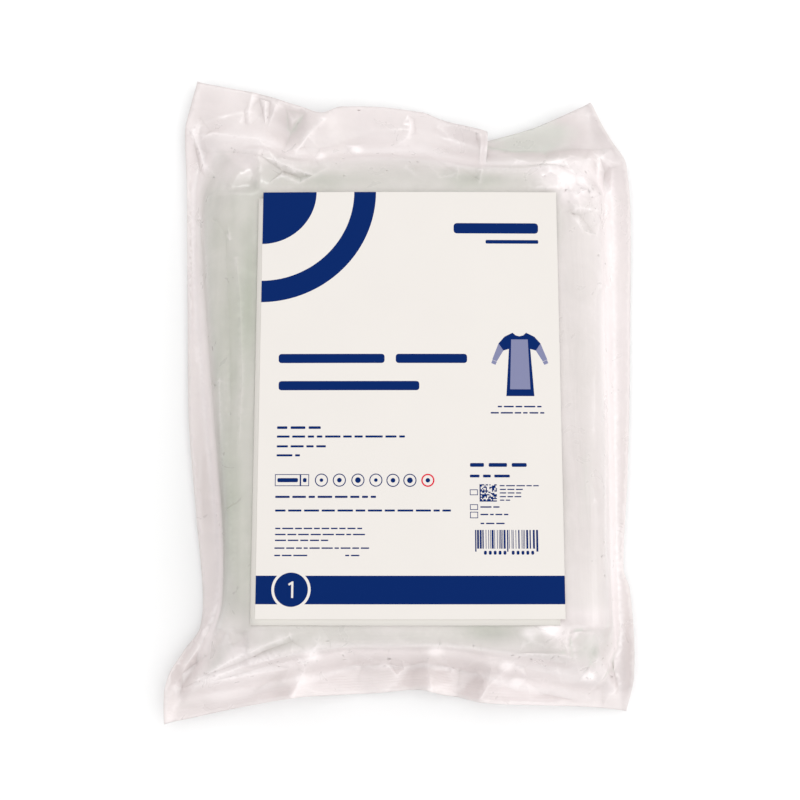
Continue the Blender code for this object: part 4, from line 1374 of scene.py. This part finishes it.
def makeCard():
    left, _, foot, _ = cardSides()
    width, length, step = card["width"], card["length"], card["gridStep"]
    shapes = [(rectangle(0, width, 0, length), 0)] + printShapes()
    points, faces = [], []
    for shape, _ in shapes:
        clipped = [(min(max(u, 0.0), width), min(max(v, 0.0), length)) for u, v in shape]
        turns = sum(a[0] * b[1] - a[1] * b[0] for a, b in zip(clipped, clipped[1:] + clipped[:1]))
        if turns < 0:
            clipped.reverse()
        faces.append(list(range(len(points), len(points) + len(clipped))))
        points += clipped
    edges = []
    grid = [((k * step, 0.0), (k * step, length)) for k in range(1, int(width / step) + 1)]
    grid += [((0.0, k * step), (width, k * step)) for k in range(1, int(length / step))]
    for line in grid:
        edges.append((len(points), len(points) + 1))
        points += line
    cut = delaunay_2d_cdt(points, edges, faces, 1, card["mergeWithin"])
    verts, triangles, inside = cut[0], cut[2], cut[5]
    flat = np.array([(p[0], p[1]) for p in verts])
    x, y = left + flat[:, 0], foot + flat[:, 1]
    solid = np.stack([x, y, leafHeight(x, y)], axis=-1) * mm
    mesh = bpy.data.meshes.new("CardLeaf")
    mesh.from_pydata(solid.tolist(), [], triangles)
    for key in ("paper", "navy", "lilac", "red"):
        mesh.materials.append(paperFinish("Card" + key.capitalize(), design[key]))
    inks = [shapes[max(owners)][1] if owners else 0 for owners in inside]
    mesh.polygons.foreach_set("material_index", inks)
    mesh.update()
    piece = putInScene("CardLeaf", mesh)
    wall = giveWall(piece, card["leafWall"], -1)
    wall.material_offset = -9
    wall.material_offset_rim = -9
    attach(piece, "root")
    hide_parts("label_card")
    print("scene: card printed,", len(triangles), "faces")


def makeBacking():
    left, _, foot, _ = cardSides()
    left, foot = left - card["backingShowsLeft"], foot - card["backingShowsFoot"]
    columns, rows = card["backingGrid"]
    x, y = np.meshgrid(np.linspace(left, left + card["width"], columns),
                       np.linspace(foot, foot + card["length"], rows))
    points = np.stack([x, y, leafHeight(x, y) - card["backingUnder"]], axis=-1).reshape(-1, 3)
    corners = [i * columns + j for i in range(rows - 1) for j in range(columns - 1)]
    faces = [(a, a + 1, a + columns + 1, a + columns) for a in corners]
    piece = sheetObject("CardBacking", points, faces, paperFinish("CardBackingPaper", design["backing"]))
    giveWall(piece, card["leafWall"], -1)
    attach(piece, "root")
    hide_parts("label_backing")


studio = {
    "floor": (0.92, 0.92, 0.92),
    "floorDarker": (0.9, 0.9, 0.9),
    "floorClouds": 6.0,
    "floorSize": 6.0,
    "floorPlace": (0, 0, -0.0002),
    "world": 1.13,
    "worldLean": 0.45,  # how much brighter the room is on its bright side than on average
    "leanRise": 1.5,  # how fast that grows from nothing at the horizon
    "brightSide": (0.95, -0.1, 0.1),
    "lamps": {  # power, size, place
        "Key": (0.45, 0.5, (1.0, -0.15, 0.36)),
        "Glint": (0.5, 0.12, (-0.25, 0.75, 0.8)),
    },
    "lens": 55.08,
    "cameraPlace": (-0.0015, -0.0695, 0.6347),
    "cameraTilt": 6.0,
}


def areaLight(name, power, size, place):  # a disc of light that faces the middle
    lamp = bpy.data.lights.new(name, "AREA")
    lamp.energy = power
    lamp.shape = "DISK"
    lamp.size = size
    shown = putInScene(name, lamp)
    shown.location = place
    shown.rotation_euler = (-Vector(place)).to_track_quat("-Z", "Y").to_euler()


def makeStudio():
    finish = Finish("FloorPaper", studio["floor"], 0.8)
    clouds = finish.noise(studio["floorClouds"])
    finish.set("Base Color", finish.mixColour(clouds, studio["floor"], studio["floorDarker"]))
    bpy.ops.mesh.primitive_plane_add(size=studio["floorSize"], location=studio["floorPlace"])
    floor = bpy.context.object
    floor.name = "Floor"
    floor.data.materials.append(finish.material)
    world = bpy.data.worlds.new("Studio")
    bpy.context.scene.world = world
    room = Tree(world)
    background = room.nodes["Background"]
    towards = room.node("ShaderNodeTexCoord", {}, {}, "Generated")
    lean = room.dot(towards, studio["brightSide"])
    high = room.dot(towards, (0.0, 0.0, studio["leanRise"])).clamped()
    room.feed(background.inputs["Color"], (1.0, 1.0, 1.0, 1.0))
    room.feed(background.inputs["Strength"], studio["world"] * (1 + studio["worldLean"] * lean * high))
    for name, row in studio["lamps"].items():
        areaLight(name, *row)
    camera = bpy.data.cameras.new("Camera")
    camera.lens = studio["lens"]
    camera.sensor_width = 36.0
    camera.clip_start = 0.01
    shown = putInScene("Camera", camera)
    shown.location = studio["cameraPlace"]
    shown.rotation_euler = (math.radians(studio["cameraTilt"]), 0, 0)
    bpy.context.scene.camera = shown
    bpy.context.scene.view_settings.view_transform = "Standard"


makeFilms()
print("scene: films made")
makeBundle()
print("scene: bundle made")
makeBacking()
makeCard()
makeStudio()
print("scene: studio ready")
